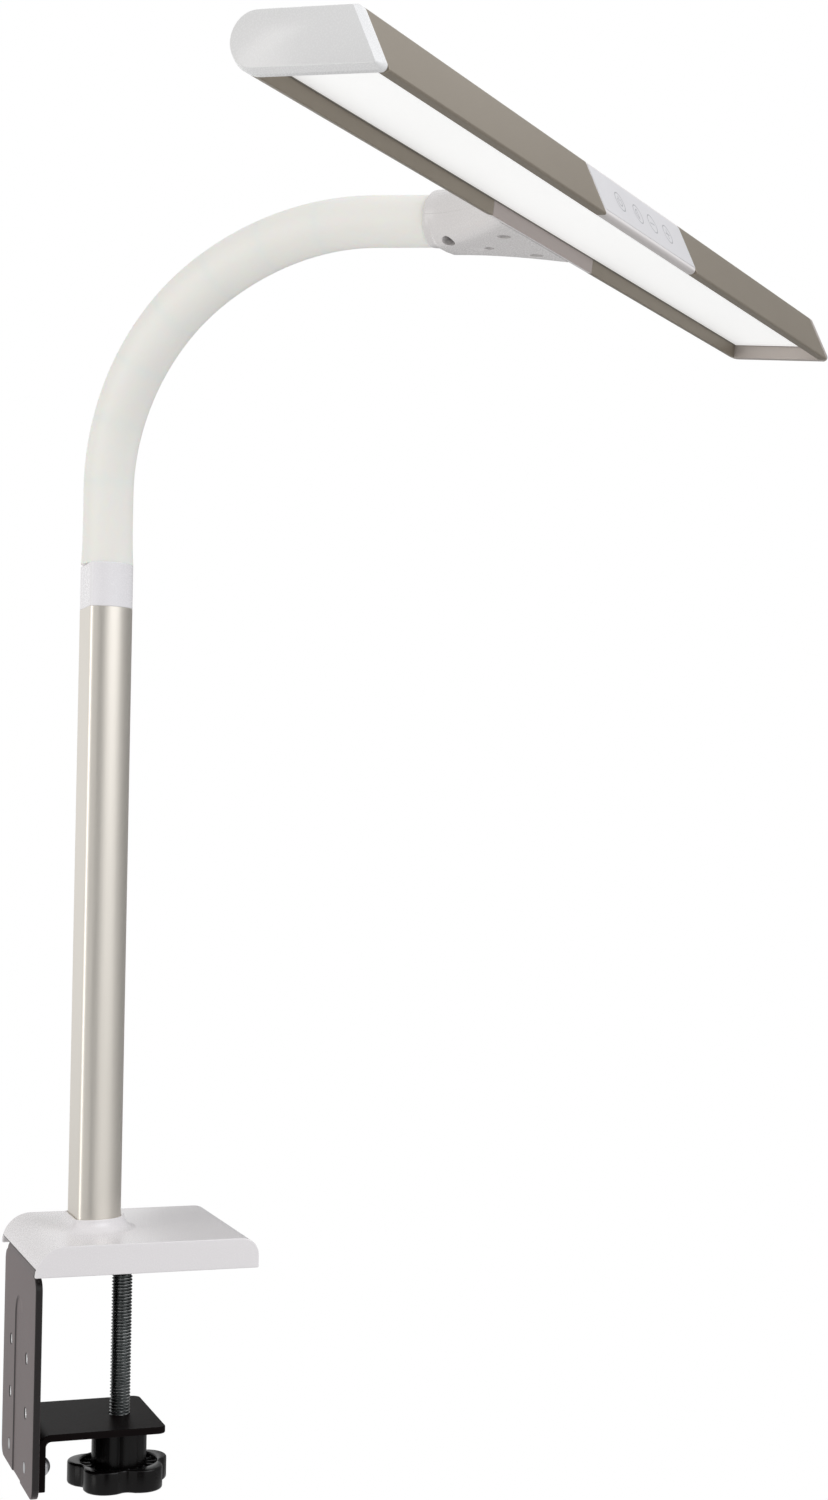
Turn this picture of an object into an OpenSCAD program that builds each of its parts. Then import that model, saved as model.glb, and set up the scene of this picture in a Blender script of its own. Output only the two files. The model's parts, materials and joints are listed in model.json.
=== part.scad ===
// Clamp lamp: a steel table clamp with a white cover, a D-shaped aluminium pole,
// a bendable neck in a silicone sleeve and a long LED head with a touch panel.
// Millimetres, +Z up. The origin is on the pole's axis, in the plane of the table top.
// +X is the way the clamp opens, so the back plate is on the -X side.

/* [Cover] */
// From the pole's axis to the cover's rear edge
cover_rear = 35.4; // [34.8:0.1:38]
// From the pole's axis to the cover's front edge
cover_front = 67; // [60:0.5:90]
// Width of the cover across the clamp
cover_w = 94; // [90:1:120]
// Height of the cover's flat top above the table
cover_h = 14; // [13:0.5:18]
// Wall of the moulded cover
cover_wall = 2.2; // [1.6:0.1:3]
// Radius of the cover's front edge
cover_front_r = 8; // [4:0.5:9]
// Gap between the cover's lower edge and the table
cover_lift = 0.3; // [0.2:0.1:0.6]
// How far the cover's rear edge stands above the lower edge of its end walls
cover_rear_rise = 3.4; // [0:0.1:5]
// Height of the collar round the pole
collar_h = 5.7; // [4:0.1:9]
// Thickness of the collar's rim
collar_rim = 1.6; // [1.2:0.1:2.5]
// How far the collar's foot spreads
collar_flare = 6.5; // [4:0.5:8]

/* [Clamp] */
// Thickness of the clamp's steel sheet
sheet_t = 3.2; // [2.5:0.1:3.6]
// Inner radius of the sheet's bends
bend_r = 2.4; // [1.6:0.1:3]
// From the pole's axis to the back plate's outer face
plate_x = 34.1; // [32.5:0.1:34.4]
// Width of the back plate
plate_w = 85; // [70:1:88]
// Depth of the back plate's lower edge below the table top
plate_drop = 99; // [95:1:120]
// Corner radius of the back plate
plate_corner = 6; // [3:0.5:12]
// Width of the stiffening channel pressed into the back plate
channel_w = 26; // [10:1:28]
// Depth of the pressed channel
channel_d = 1.8; // [1:0.1:2.2]
// Depth of the channel's round upper end below the table top
channel_top = 14; // [12:1:26]
// Depth of the upper row of holes below the table top
hole_top = 40.4; // [37:0.2:42]
// Pitch of the rows of holes
hole_pitch = 24.4; // [23:0.2:25.4]
// Distance between the two columns of holes
hole_gap = 42.4; // [36:0.2:50]
// Diameter of the holes
hole_d = 5.2; // [4:0.1:6]
// From the flange's sides to the cover's end walls
flange_gap = 8.4; // [3:0.1:12]
// How far the top flange reaches in front of the pole's axis
flange_front = 57; // [50:1:58]
// Thickness of the rubber under the top flange
jaw_pad_t = 1.5; // [1:0.1:2.5]

/* [Lower bracket] */
// Depth of the shelf's top below the table top
shelf_drop = 73.1; // [66:0.1:76]
// From the pole's axis to the shelf's free end
shelf_front = 29.4; // [26:0.1:45]
// Width of the shelf
shelf_w = 60.6; // [54:0.2:70]
// Corner radius at the shelf's free end
shelf_corner = 4; // [1:0.5:10]
// Depth of the leg's lower edge below the table top
leg_drop = 98.5; // [95:0.5:100]

/* [Clamp screw] */
// From the pole's axis to the screw's axis
screw_x = 13.8; // [12:0.1:18]
// Diameter of the screw
screw_d = 9.6; // [8:0.1:11]
// Running clearance of the screw in its thread, on the radius
screw_clear = 0.05; // [0.03:0.01:0.08]
// Diameter of the pressure pad
pad_d = 20; // [17:0.5:20]
// Thickness of the pressure pad
pad_t = 6; // [5:0.5:8]
// Space left between the closed pad and the rubber above it
pad_gap = 1; // [0.5:0.1:2]
// Diameter of the screw's tip in the pad
tip_d = 6; // [4:0.5:7]
// Depth of the tip in the pad
tip_depth = 3.6; // [2:0.2:4]
// Across the lobes of the knob
knob_d = 48; // [42:1:60]
// Number of lobes
knob_lobes = 5; // [5:1:7]
// Height of the knob's rim
knob_rim_h = 10.5; // [9:0.5:18]
// Diameter of the knob's hub
hub_d = 25.6; // [22:0.2:28]
// Height of the hub above the rim
hub_h = 18; // [12:0.5:24]

/* [Pole] */
// Radius of the pole's round front
pole_r = 15; // [14.5:0.1:17]
// From the centre of the round to the flat rear face
pole_flat = 7.5; // [7.3:0.1:9]
// Corner radius beside the flat face
pole_corner = 2.5; // [2:0.1:3.5]
// How far the centre of the round lies behind the neck's axis
pole_shift = 2.8; // [2.2:0.1:2.8]
// Wall of the pole
pole_wall = 1.8; // [1.4:0.1:2]
// Height of the pole's top above the table
pole_top = 303.3; // [220:0.1:420]
// Height of the solid foot inside the pole
foot_h = 40; // [24:1:80]
// Height of the white ferrule on the pole
ferrule_h = 20.8; // [14:0.2:30]
// Clearance between parts that slide together when they are put together
fit_gap = 0.15; // [0.1:0.01:0.2]

/* [Neck] */
// Radius of the sleeve
neck_r = 12; // [11.5:0.1:12.2]
// Radius of the flexible core
core_r = 6.8; // [6:0.1:7]
// Radius of the wire duct in the core
duct_r = 3; // [2:0.1:4]
// Straight rise of the neck above the ferrule
neck_rise = 35; // [26:0.5:60]
// Radius of the first bend
bend_1_r = 109.4; // [90:0.2:140]
// Angle of the first bend
bend_1_a = 60.5; // [40:0.5:70]
// Radius of the second bend
bend_2_r = 143; // [110:1:180]
// Angle of the second bend
bend_2_a = 35.7; // [20:0.1:50]
// Straight run of the neck before the head's bracket
neck_run = 24.3; // [18:0.1:40]
// Direction of the neck, from +X towards -Y
neck_heading = 46.5; // [0:0.5:90]
// Radius of the round ends of the links
ball_r = 16; // [14.5:0.1:18]
// Running gap between the links
link_gap = 0.3; // [0.25:0.01:0.4]

/* [Head] */
// Length of the head
head_l = 492; // [400:1:600]
// How far the head's middle lies beside the neck, towards its right end
head_offset = 4; // [0:0.5:10]
// Thickness of the head
head_t = 22; // [20:0.2:26]
// Width of the head's underside, from its round rear edge to its front lip
head_w = 60.6; // [54:0.2:74]
// How far the upper front edge stands behind the lower one
head_slant = 12.4; // [8:0.2:16]
// Radius of the front edges
head_edge_r = 2; // [1.9:0.1:3]
// Wall of the head's casings
head_wall = 1.6; // [1.4:0.1:1.8]
// Length of the white middle casing
middle_l = 104; // [90:1:130]
// Depth of the well in the underside, up to the diffuser
well_depth = 6.4; // [5:0.1:7]
// Width of the closed rail behind the well
rail_w = 9.8; // [9.4:0.1:14]
// Width of the lip in front of the well
lip_w = 4.8; // [4:0.1:6]
// Thickness of the end caps
cap_t = 5; // [3:0.5:8]
// Thickness of the opal diffuser
diffuser_t = 2; // [1.5:0.1:3]
// Depth of the end caps' plugs
plug_l = 8; // [5:0.5:14]
// Thickness of the bar that joins the casings
spine_t = 3; // [2:0.2:4]
// Width of the bar
spine_w = 26; // [20:1:28]
// Thickness of the circuit boards
board_t = 1.6; // [1:0.1:2]
// Width of the lamp board
board_w = 20; // [14:1:24]
// Pitch of the lamps on their board
led_pitch = 12; // [8:0.5:20]
// Thickness of the touch panel
panel_t = 1.2; // [1:0.1:1.4]
// Width of the touch panel
panel_w = 18; // [14:0.5:19]
// Clearance between the pieces of the head
head_gap = 0.1; // [0.05:0.01:0.2]

/* [Bracket] */
// Length of the bracket from the neck to the head
bracket_l = 50.2; // [48:0.2:70]
// Radius of the bracket's barrel
barrel_r = 13.5; // [12.5:0.1:15]
// Length of the barrel's rounded edge at the neck
barrel_edge = 5; // [2:0.5:6]
// Length of the barrel before the bracket spreads
barrel_l = 10; // [6:0.5:16]
// Half width of the bracket at the head
fan_half_w = 46; // [42:1:50]
// Half thickness of the bracket at the head
fan_half_t = 10.4; // [9:0.2:10.8]
// Depth of the core in the bracket
core_seat = 24; // [20:1:26]
// Diameter of the recesses for the bracket's screws
recess_d = 6; // [5:0.2:7]
// From the head's rear edge to the two outer screws
fan_screw_back = 1.6; // [1.5:0.1:6]
// Distance between the two outer screws
fan_screw_gap = 33.6; // [26:0.1:34]
// From the head's rear edge to the middle screw
middle_screw_back = 16.4; // [16:0.1:20]

/* [Hidden] */
$fn = 64;

white = [0.88, 0.88, 0.89];
black_steel = [0.13, 0.12, 0.12];
champagne = [0.78, 0.76, 0.72];
silicone = [0.90, 0.89, 0.86];
// A length that reaches through any one piece
through = 400;
// Overlap of a cut past the face that it opens
over = 1;

// Cover and clamp frame
flange_z = jaw_pad_t;
flange_top = flange_z + sheet_t;
plate_inner_x = plate_x - sheet_t;
bend_out = bend_r + sheet_t;
flange_w = cover_w - 2 * (cover_wall + flange_gap);
flange_corner = 8;
bend_centre = [-plate_x + bend_out, flange_top - bend_out];
relief_gap = 0.3;
collar_sink = 0.06;
thread_gap = 0.05;
seat_gap = 0.3;
head_cone = 1.6;
boss_r = 4;
boss_x = [-22, flange_front - 7];
boss_y = flange_w / 2 - 8;
cover_bolt_r = 1.5;
cover_bolt_depth = 5;
inlet_room = cover_h - cover_wall - flange_top;
inlet_x = 38;
inlet_z = flange_top + inlet_room / 2;
inlet_flange_r = inlet_room / 2 - 0.1;
inlet_r = inlet_flange_r - 0.3;
inlet_bore_r = inlet_r - 0.4;
inlet_pin_r = 1;
inlet_depth = 9;

// The jaw's rubber stops short of the pressure pad, so the pad can close onto the table only
jaw_rear = -bend_centre[0] - relief_gap;
jaw_margin = 1.3;
pad_edge = pad_d / 2 + jaw_margin;
jaw_half_w = flange_w / 2 - 3;

// Lower bracket
leg_x = plate_inner_x - channel_d;
shelf_under = shelf_drop + sheet_t;
hole_low = hole_top + 2 * hole_pitch;
bolt_head_r = 4.6;
bolt_head_h = 3.6;
thread_collar_r = 7.5;
thread_collar_h = 4;

// Clamp screw and knob
pad_under = pad_gap + pad_t;
hub_top = shelf_under + seat_gap;
rim_top = hub_top + hub_h;
knob_bottom = rim_top + knob_rim_h;
moat_r = hub_d / 2 + 5;
moat_depth = 4;
lobe_r = 10;
lobe_at = knob_d / 2 - lobe_r;
waist_r = knob_d / 2 - 3;
valley_r = 7;
valley_at = waist_r + 5;
knob_turn = 16.75;
rod_socket = 16;

// Pole section: corner circles and their tangent points on the round
corner_x = -pole_flat + pole_corner;
corner_y = sqrt(pow(pole_r - pole_corner, 2) - corner_x * corner_x);
corner_angle = atan2(corner_y, corner_x);
// The corner circles stand this much proud, so that they cross the round and the flat cleanly
corner_swell = 0.02;
notch_w = 8;
notch_h = 6;
foot_duct_x = 4;
pole_bolt_r = 2.5;
pole_bolt_gap = 13;
pole_bolt_depth = 14;
spigot_h = 12;
retainer_h = 8;
retainer_z = pole_top - spigot_h - fit_gap - retainer_h;

// Neck: the links' rims, numbered 1 to 8 along the neck
ferrule_top = pole_top + ferrule_h;
bore_r = core_r + fit_gap;
bend_1_links = 4;
bend_2_links = 3;
link_count = bend_1_links + bend_2_links;
pivot_back = sqrt(ball_r * ball_r - neck_r * neck_r);
end_margin = 3;
end_reach = ball_r - pivot_back + over;
function link_angle(i) = i <= bend_1_links ? bend_1_a / bend_1_links : bend_2_a / bend_2_links;
function link_radius(i) = i <= bend_1_links ? bend_1_r : bend_2_r;
function rim_angle(i) = i <= 1 ? 0 : rim_angle(i - 1) + link_angle(i - 1);
function rim_point(i) = i <= 1 ? [0, ferrule_top + neck_rise]
    : rim_point(i - 1) + link_radius(i - 1) * [cos(rim_angle(i - 1)) - cos(rim_angle(i)),
                                               sin(rim_angle(i)) - sin(rim_angle(i - 1))];

// Head, in its own axes: X along the neck's end, Y along the head, Z up from the head's middle plane
head_half_t = head_t / 2;
rear_centre = bracket_l + head_half_t;
slant_len = sqrt(head_slant * head_slant + head_t * head_t);
slant_x = head_t / slant_len;
slant_z = head_slant / slant_len;
slant_at = slant_x * (bracket_l + head_w) - slant_z * head_half_t;
function front_x(inset, z) = (slant_at - inset - slant_z * z) / slant_x;
well_rear = bracket_l + rail_w;
well_inset = lip_w * slant_x;
well_z = -head_half_t + well_depth;
well_lap = 3;
roof_z = head_half_t - head_wall;
casing_left = head_offset - head_l / 2 + cap_t;
casing_right = head_offset + head_l / 2 - cap_t;
inner_left = casing_left + plug_l + 0.5;
inner_right = casing_right - plug_l - 0.5;
spine_x = rear_centre + 2;
board_x = spine_x + (spine_w - board_w) / 2;
lamp_z = roof_z - spine_t - board_t;
led_size = [3, 3.5, 0.8];
led_count = floor((inner_right - inner_left - led_pitch) / led_pitch);
panel_l = middle_l - 3;
panel_tilt = atan2(head_slant, head_t);
touch_board_w = 9.5;
touch_board_up = 9;
tongue_l = 12;
tongue_w = 40;
tongue_t = 5;
wire_room_w = 14;
fan_screw_r = 1.6;
middle_screw_x = bracket_l - middle_screw_back;
middle_screw_r = 1.3;
middle_recess_r = 2.2;
middle_post_r = 3.4;
barrel_screw_x = core_seat - 4.5;
barrel_screw_turn = -45;
grub_l = 4;
recess_roof = 6;
screw_reach = 5.5;
tongue_reach = tongue_t / 2 - 0.2;
screw_head_h = 1.6;
fan_steps = 8;
fan_points = 36;
barrel_start_r = neck_r - 0.5;
pad_step = [0.8 * barrel_l, 1.3 * barrel_l];

// The pole's outline, grown by e all round
module pole_section(e = 0) {
    arc_r = pole_r + e;
    tangent = arc_r * [cos(corner_angle), sin(corner_angle)];
    translate([-pole_shift, 0]) {
        intersection() {
            circle(arc_r);
            translate([tangent[0], -through]) square([through, 2 * through]);
        }
        for (side = [-1, 1])
            translate([corner_x, side * corner_y]) circle(pole_corner + e + corner_swell);
        polygon([[-pole_flat - e, -corner_y], [tangent[0], -tangent[1]],
                 [tangent[0], tangent[1]], [-pole_flat - e, corner_y]]);
    }
}

// One point of the pole's outline and its outward direction, for the collar's rings
collar_arc_steps = 30;
collar_corner_steps = 5;
function outline_point(centre, r, a, e) =
    [centre[0] - pole_shift + (r + e) * cos(a), centre[1] + (r + e) * sin(a)];
function pole_ring(e) = concat(
    [for (k = [0:collar_arc_steps])
        outline_point([0, 0], pole_r, -corner_angle + 2 * corner_angle * k / collar_arc_steps, e)],
    [for (k = [1:collar_corner_steps])
        outline_point([corner_x, corner_y], pole_corner,
            corner_angle + (180 - corner_angle) * k / collar_corner_steps, e)],
    [for (k = [0:collar_corner_steps - 1])
        outline_point([corner_x, -corner_y], pole_corner,
            180 + (180 - corner_angle) * k / collar_corner_steps, e)]);

// A solid through a stack of rings that all have the same number of points
module loft(rings) {
    n = len(rings[0]);
    last = len(rings) - 1;
    polyhedron(
        points = [for (ring = rings) for (p = ring) p],
        faces = concat(
            [[for (k = [0:n - 1]) k]],
            [for (j = [0:last - 1]) for (k = [0:n - 1])
                [j * n + k, (j + 1) * n + k, (j + 1) * n + (k + 1) % n]],
            [for (j = [0:last - 1]) for (k = [0:n - 1])
                [j * n + k, (j + 1) * n + (k + 1) % n, j * n + (k + 1) % n]],
            [[for (k = [n - 1:-1:0]) last * n + k]]));
}

// A flat outline in X and Z, drawn out along Y
module along_y(y0, y1) {
    translate([0, y1, 0]) rotate([90, 0, 0]) linear_extrude(y1 - y0) children();
}

// The cover's side view: a round rear edge of full height, a flat top and a rounded front edge.
// base is the level of its open underside.
module cover_outline(inset, base) {
    rear_r = cover_h - cover_lift;
    front_centre = [cover_front - cover_front_r, cover_h - cover_front_r];
    intersection() {
        translate([-cover_rear + rear_r, cover_lift]) circle(rear_r - inset);
        translate([-cover_rear, base]) square([rear_r, through]);
    }
    translate([-cover_rear + rear_r, base])
        square([cover_rear - rear_r + front_centre[0], cover_h - inset - base]);
    translate(front_centre) intersection() {
        circle(cover_front_r - inset);
        square(through);
    }
    translate([front_centre[0], base]) square([cover_front_r - inset, front_centre[1] - base]);
}

// Flared collar round the pole. Its foot lies just under the cover's top face.
module collar() {
    steps = 8;
    low = cover_h - collar_sink;
    foot = [for (p = pole_ring(collar_rim + collar_flare)) [p[0], p[1], cover_h - cover_wall / 2]];
    flare = [for (k = [0:steps])
        [for (p = pole_ring(collar_rim + collar_flare * (1 - sin(90 * k / steps))))
            [p[0], p[1], low + (cover_h + collar_h - low) * (1 - cos(90 * k / steps))]]];
    loft(concat([foot], flare));
}

module at_bosses() {
    for (x = boss_x) for (y = [-boss_y, boss_y]) translate([x, y, 0]) children();
}

module base_cover() {
    color(white) difference() {
        union() {
            difference() {
                union() {
                    along_y(-cover_w / 2, cover_w / 2) cover_outline(0, cover_lift);
                    collar();
                }
                along_y(-cover_w / 2 + cover_wall, cover_w / 2 - cover_wall)
                    cover_outline(cover_wall, cover_lift - over);
                // Room for the bend at the top of the back plate
                along_y(-flange_w / 2 - relief_gap, flange_w / 2 + relief_gap)
                    translate(bend_centre) circle(bend_out + relief_gap);
                // The rear edge stands higher, to let the back plate pass
                translate([-cover_rear - over, -cover_w / 2 + cover_wall, -over])
                    cube([cover_rear / 2, cover_w - 2 * cover_wall, over + cover_lift + cover_rear_rise]);
            }
            at_bosses() translate([0, 0, flange_top])
                cylinder(r = boss_r, h = cover_h - cover_wall / 2 - flange_top);
        }
        translate([0, 0, -over]) linear_extrude(through) pole_section(fit_gap);
        at_bosses() translate([0, 0, flange_top - over])
            cylinder(r = cover_bolt_r + thread_gap, h = over + cover_bolt_depth + thread_gap);
        translate([inlet_x, cover_w / 2 + over, inlet_z]) rotate([90, 0, 0])
            cylinder(r = inlet_r + head_gap, h = cover_wall + 2 * over);
    }
}

// Steel sheet bent over once: the back plate, and the flange that lies on the table
module clamp_frame() {
    color(black_steel) difference() {
        union() {
            // Back plate with round corners, and the rib that its pressed channel raises inside
            intersection() {
                union() {
                    translate([-plate_x, -plate_w / 2, -plate_drop])
                        cube([sheet_t, plate_w, plate_drop + bend_centre[1]]);
                    pressed_channel(plate_inner_x, channel_w);
                }
                rotate([90, 0, 90]) translate([0, 0, -through / 2]) linear_extrude(through) plate_outline();
            }
            // Bend
            intersection() {
                along_y(-flange_w / 2, flange_w / 2) translate(bend_centre) difference() {
                    circle(bend_out);
                    circle(bend_r);
                }
                translate([-plate_x - over, -through / 2, bend_centre[1]])
                    cube([bend_out + over, through, through]);
            }
            // Flange
            translate([bend_centre[0], 0, flange_z]) linear_extrude(sheet_t) flange_outline();
        }
        pressed_channel(plate_x, channel_w - 2 * channel_d);
        for (row = [0:2]) for (side = [-1, 1])
            translate([-plate_x - over, side * hole_gap / 2, -hole_top - row * hole_pitch]) rotate([0, 90, 0])
                cylinder(d = hole_d, h = sheet_t + 2 * over);
        at_bosses() countersunk(cover_bolt_r + thread_gap, thread_gap);
        at_pole_bolts() countersunk(pole_bolt_r + thread_gap, thread_gap);
    }
}

// The pressed channel as a bar with a round upper end, standing channel_d proud of the face at -x
module pressed_channel(x, width) {
    translate([-x, 0, 0]) rotate([90, 0, 90]) linear_extrude(channel_d) {
        translate([0, -channel_top - channel_w / 2]) circle(d = width);
        translate([-width / 2, -plate_drop - over])
            square([width, plate_drop + over - channel_top - channel_w / 2]);
    }
}

// The back plate's outline in Y and Z. Its upper edge is the bend's lower end, beside round shoulders.
module plate_outline() {
    half = plate_w / 2;
    high = bend_centre[1];
    for (side = [-1, 1]) for (z = [-plate_drop + plate_corner, high - plate_corner])
        translate([side * (half - plate_corner), z]) circle(plate_corner);
    translate([-half, -plate_drop + plate_corner])
        square([plate_w, plate_drop + high - 2 * plate_corner]);
    translate([-half + plate_corner, -plate_drop]) square([plate_w - 2 * plate_corner, plate_drop + high]);
    translate([-flange_w / 2, high - 2 * plate_corner]) square([flange_w, 2 * plate_corner]);
}

// The flange from its bend to its free end, with round front corners
module flange_outline() {
    reach = flange_front - bend_centre[0];
    for (side = [-1, 1])
        translate([reach - flange_corner, side * (flange_w / 2 - flange_corner)]) circle(flange_corner);
    translate([0, -flange_w / 2]) square([reach - flange_corner, flange_w]);
    translate([0, -flange_w / 2 + flange_corner]) square([reach, flange_w - 2 * flange_corner]);
}

// A countersunk bolt standing head down in the flange, grown by gap; depth is its reach above the flange
module countersunk(r, gap, depth = over) {
    translate([0, 0, flange_z]) {
        cylinder(r1 = r + head_cone + gap, r2 = r, h = head_cone);
        cylinder(r = r, h = sheet_t + depth);
    }
}

module jaw_pad(x0, x1) {
    color([0.16, 0.16, 0.17]) translate([x0, -jaw_half_w, 0]) cube([x1 - x0, 2 * jaw_half_w, jaw_pad_t]);
}

module jaw_pad_rear() { jaw_pad(-jaw_rear, screw_x - pad_edge); }
module jaw_pad_front() { jaw_pad(screw_x + pad_edge, flange_front - jaw_margin); }

module cover_screws() {
    color("silver") at_bosses() countersunk(cover_bolt_r, 0, cover_bolt_depth);
}

// Socket for the supply's plug, in the cover's far end wall
module dc_inlet() {
    color([0.1, 0.1, 0.1]) translate([inlet_x, cover_w / 2, inlet_z]) rotate([90, 0, 0]) {
        difference() {
            union() {
                cylinder(r = inlet_r, h = inlet_depth);
                translate([0, 0, cover_wall + head_gap])
                    cylinder(r = inlet_flange_r, h = inlet_depth - cover_wall);
            }
            translate([0, 0, -over]) cylinder(r = inlet_bore_r, h = inlet_depth + over);
        }
        translate([0, 0, over]) cylinder(r = inlet_pin_r, h = inlet_depth);
        translate([0, 0, inlet_depth]) cylinder(r = inlet_bore_r + head_gap, h = cover_wall);
    }
}

// Second sheet: a shelf for the screw, bent down into a leg that bears on the back plate's rib
module lower_bracket() {
    bend_x = -leg_x + bend_out;
    bend_z = -shelf_drop - bend_out;
    color(black_steel) difference() {
        union() {
            translate([-leg_x, -shelf_w / 2, -leg_drop]) cube([sheet_t, shelf_w, leg_drop + bend_z]);
            intersection() {
                along_y(-shelf_w / 2, shelf_w / 2) translate([bend_x, bend_z]) difference() {
                    circle(bend_out);
                    circle(bend_r);
                }
                translate([-leg_x - over, -through / 2, bend_z]) cube([bend_out + over, through, through]);
            }
            translate([bend_x, 0, -shelf_under]) linear_extrude(sheet_t) shelf_outline(shelf_front - bend_x);
            // Collar drawn down round the thread
            translate([screw_x, 0, -shelf_under - thread_collar_h])
                cylinder(r = thread_collar_r, h = thread_collar_h + over);
        }
        translate([screw_x, 0, -through / 2]) cylinder(r = screw_d / 2 + screw_clear, h = through);
        at_bracket_bolts() cylinder(d = hole_d, h = through, center = true);
    }
}

module shelf_outline(reach) {
    for (side = [-1, 1])
        translate([reach - shelf_corner, side * (shelf_w / 2 - shelf_corner)]) circle(shelf_corner);
    translate([0, -shelf_w / 2]) square([reach - shelf_corner, shelf_w]);
    translate([0, -shelf_w / 2 + shelf_corner]) square([reach, shelf_w - 2 * shelf_corner]);
}

// Places on the lowest row of holes, with Z pointing inwards from the leg's inner face
module at_bracket_bolts() {
    for (side = [-1, 1])
        translate([-leg_x + sheet_t, side * hole_gap / 2, -hole_low]) rotate([0, 90, 0]) children();
}

// Two dome-headed bolts that hold the leg, screwed into the back plate
module bracket_bolts() {
    dome_r = (bolt_head_r * bolt_head_r + bolt_head_h * bolt_head_h) / (2 * bolt_head_h);
    shank = plate_x - leg_x + sheet_t;
    color("silver") at_bracket_bolts() {
        intersection() {
            translate([0, 0, bolt_head_h - dome_r]) sphere(dome_r);
            cylinder(r = bolt_head_r, h = bolt_head_h);
        }
        translate([0, 0, -shank]) cylinder(d = hole_d - 2 * thread_gap, h = shank);
    }
}

module pressure_pad() {
    color([0.12, 0.12, 0.12]) translate([screw_x, 0, 0]) difference() {
        union() {
            translate([0, 0, -pad_under + pad_t / 2]) cylinder(d = pad_d, h = pad_t / 2);
            translate([0, 0, -pad_under]) cylinder(d1 = pad_d * 0.7, d2 = pad_d, h = pad_t / 2);
        }
        translate([0, 0, -pad_under - over]) cylinder(r = tip_d / 2 + screw_clear, h = tip_depth + over);
    }
}

// The screw's rod: a turned tip in the pad, the threaded length and the end moulded into the knob
module clamp_screw() {
    color([0.45, 0.45, 0.45]) translate([screw_x, 0, 0]) {
        translate([0, 0, -pad_under - seat_gap - over]) cylinder(d = tip_d, h = tip_depth + over);
        translate([0, 0, -hub_top - rod_socket])
            cylinder(d = screw_d, h = hub_top + rod_socket - pad_under - seat_gap);
    }
}

// Star knob: round lobes on a disc, with a moat round the tall hub
module star_knob() {
    color([0.06, 0.06, 0.06]) translate([screw_x, 0, 0]) difference() {
        union() {
            difference() {
                translate([0, 0, -knob_bottom]) linear_extrude(knob_rim_h) knob_outline();
                translate([0, 0, -rim_top - moat_depth]) cylinder(r = moat_r, h = moat_depth + over);
            }
            translate([0, 0, -knob_bottom + over]) cylinder(d = hub_d, h = knob_bottom - over - hub_top);
        }
        // Socket for the rod, and room for the collar under the shelf
        translate([0, 0, -hub_top - rod_socket - head_gap])
            cylinder(r = screw_d / 2 + screw_clear, h = rod_socket + head_gap + over);
        translate([0, 0, -shelf_under - thread_collar_h - seat_gap])
            cylinder(r = thread_collar_r + seat_gap, h = thread_collar_h + seat_gap);
    }
}

module knob_outline() {
    difference() {
        circle(waist_r);
        for (k = [0:knob_lobes - 1]) rotate(knob_turn + (k + 0.5) * 360 / knob_lobes)
            translate([valley_at, 0]) circle(valley_r);
    }
    for (k = [0:knob_lobes - 1])
        rotate(knob_turn + k * 360 / knob_lobes) translate([lobe_at, 0]) circle(lobe_r);
}

// Drawn aluminium tube of D section, notched at its foot for the wires
module pole() {
    color(champagne) difference() {
        translate([0, 0, flange_top]) linear_extrude(pole_top - flange_top) difference() {
            pole_section();
            pole_section(-pole_wall);
        }
        wire_notch();
    }
}

module wire_notch() {
    translate([-pole_shift - notch_w / 2, 0, flange_top - over]) cube([notch_w, through, notch_h + over]);
}

module at_pole_bolts() {
    for (side = [-1, 1]) translate([-pole_shift, side * pole_bolt_gap / 2, 0]) children();
}

// Block inside the pole's foot, bolted to the flange, with a duct for the wires
module pole_foot() {
    color([0.55, 0.55, 0.56]) difference() {
        translate([0, 0, flange_top]) linear_extrude(foot_h) difference() {
            pole_section(-pole_wall - fit_gap);
            translate([foot_duct_x, 0]) circle(duct_r);
        }
        wire_notch();
        at_pole_bolts() translate([0, 0, flange_top - over])
            cylinder(r = pole_bolt_r + thread_gap, h = over + pole_bolt_depth + thread_gap);
    }
}

module pole_bolts() {
    color("silver") at_pole_bolts() countersunk(pole_bolt_r, 0, pole_bolt_depth);
}

// White cap on the pole, with a spigot in it and a bore for the neck's core
module ferrule() {
    color(white) difference() {
        union() {
            translate([0, 0, pole_top]) linear_extrude(ferrule_h) pole_section();
            translate([0, 0, pole_top - spigot_h])
                linear_extrude(spigot_h + over) pole_section(-pole_wall - fit_gap);
        }
        cylinder(r = bore_r, h = through);
    }
}

// Block that is pinned to the core's lower end and pulls it down onto the ferrule
module neck_retainer() {
    color([0.55, 0.55, 0.56]) translate([0, 0, retainer_z]) linear_extrude(retainer_h) difference() {
        pole_section(-pole_wall - fit_gap);
        circle(bore_r);
    }
}

// The neck's plane: X along the neck's heading
module in_neck_plane() {
    rotate([0, 0, -neck_heading]) children();
}

// A rim's own axes: Z along the neck, X towards the inside of the bend
module at_rim(i) {
    in_neck_plane() translate([rim_point(i)[0], 0, rim_point(i)[1]])
        rotate([0, rim_angle(i), 0]) children();
}

// Bent tube that starts at a rim's centre and bends towards its X
module bent_tube(radius, angle, r_out, r_in) {
    translate([radius, 0, 0]) rotate([90, 0, 180]) rotate_extrude(angle = angle, $fn = 180)
        translate([radius, 0]) difference() {
            circle(r_out);
            circle(r_in);
        }
}

module straight_tube(length, r_out, r_in) {
    linear_extrude(length) difference() {
        circle(r_out);
        circle(r_in);
    }
}

// What is cut away past a rim, to leave a round end: part of a ball about the joint's centre
module past_round_end() {
    translate([0, 0, -pivot_back]) difference() {
        translate([0, 0, pivot_back - end_margin]) cylinder(r = ball_r + neck_r, h = ball_r + end_margin);
        sphere(ball_r);
    }
}

// What is cut away at the other end of a link, to leave room for that ball
module hollow_end() {
    translate([0, 0, -pivot_back]) sphere(ball_r + link_gap);
}

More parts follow.
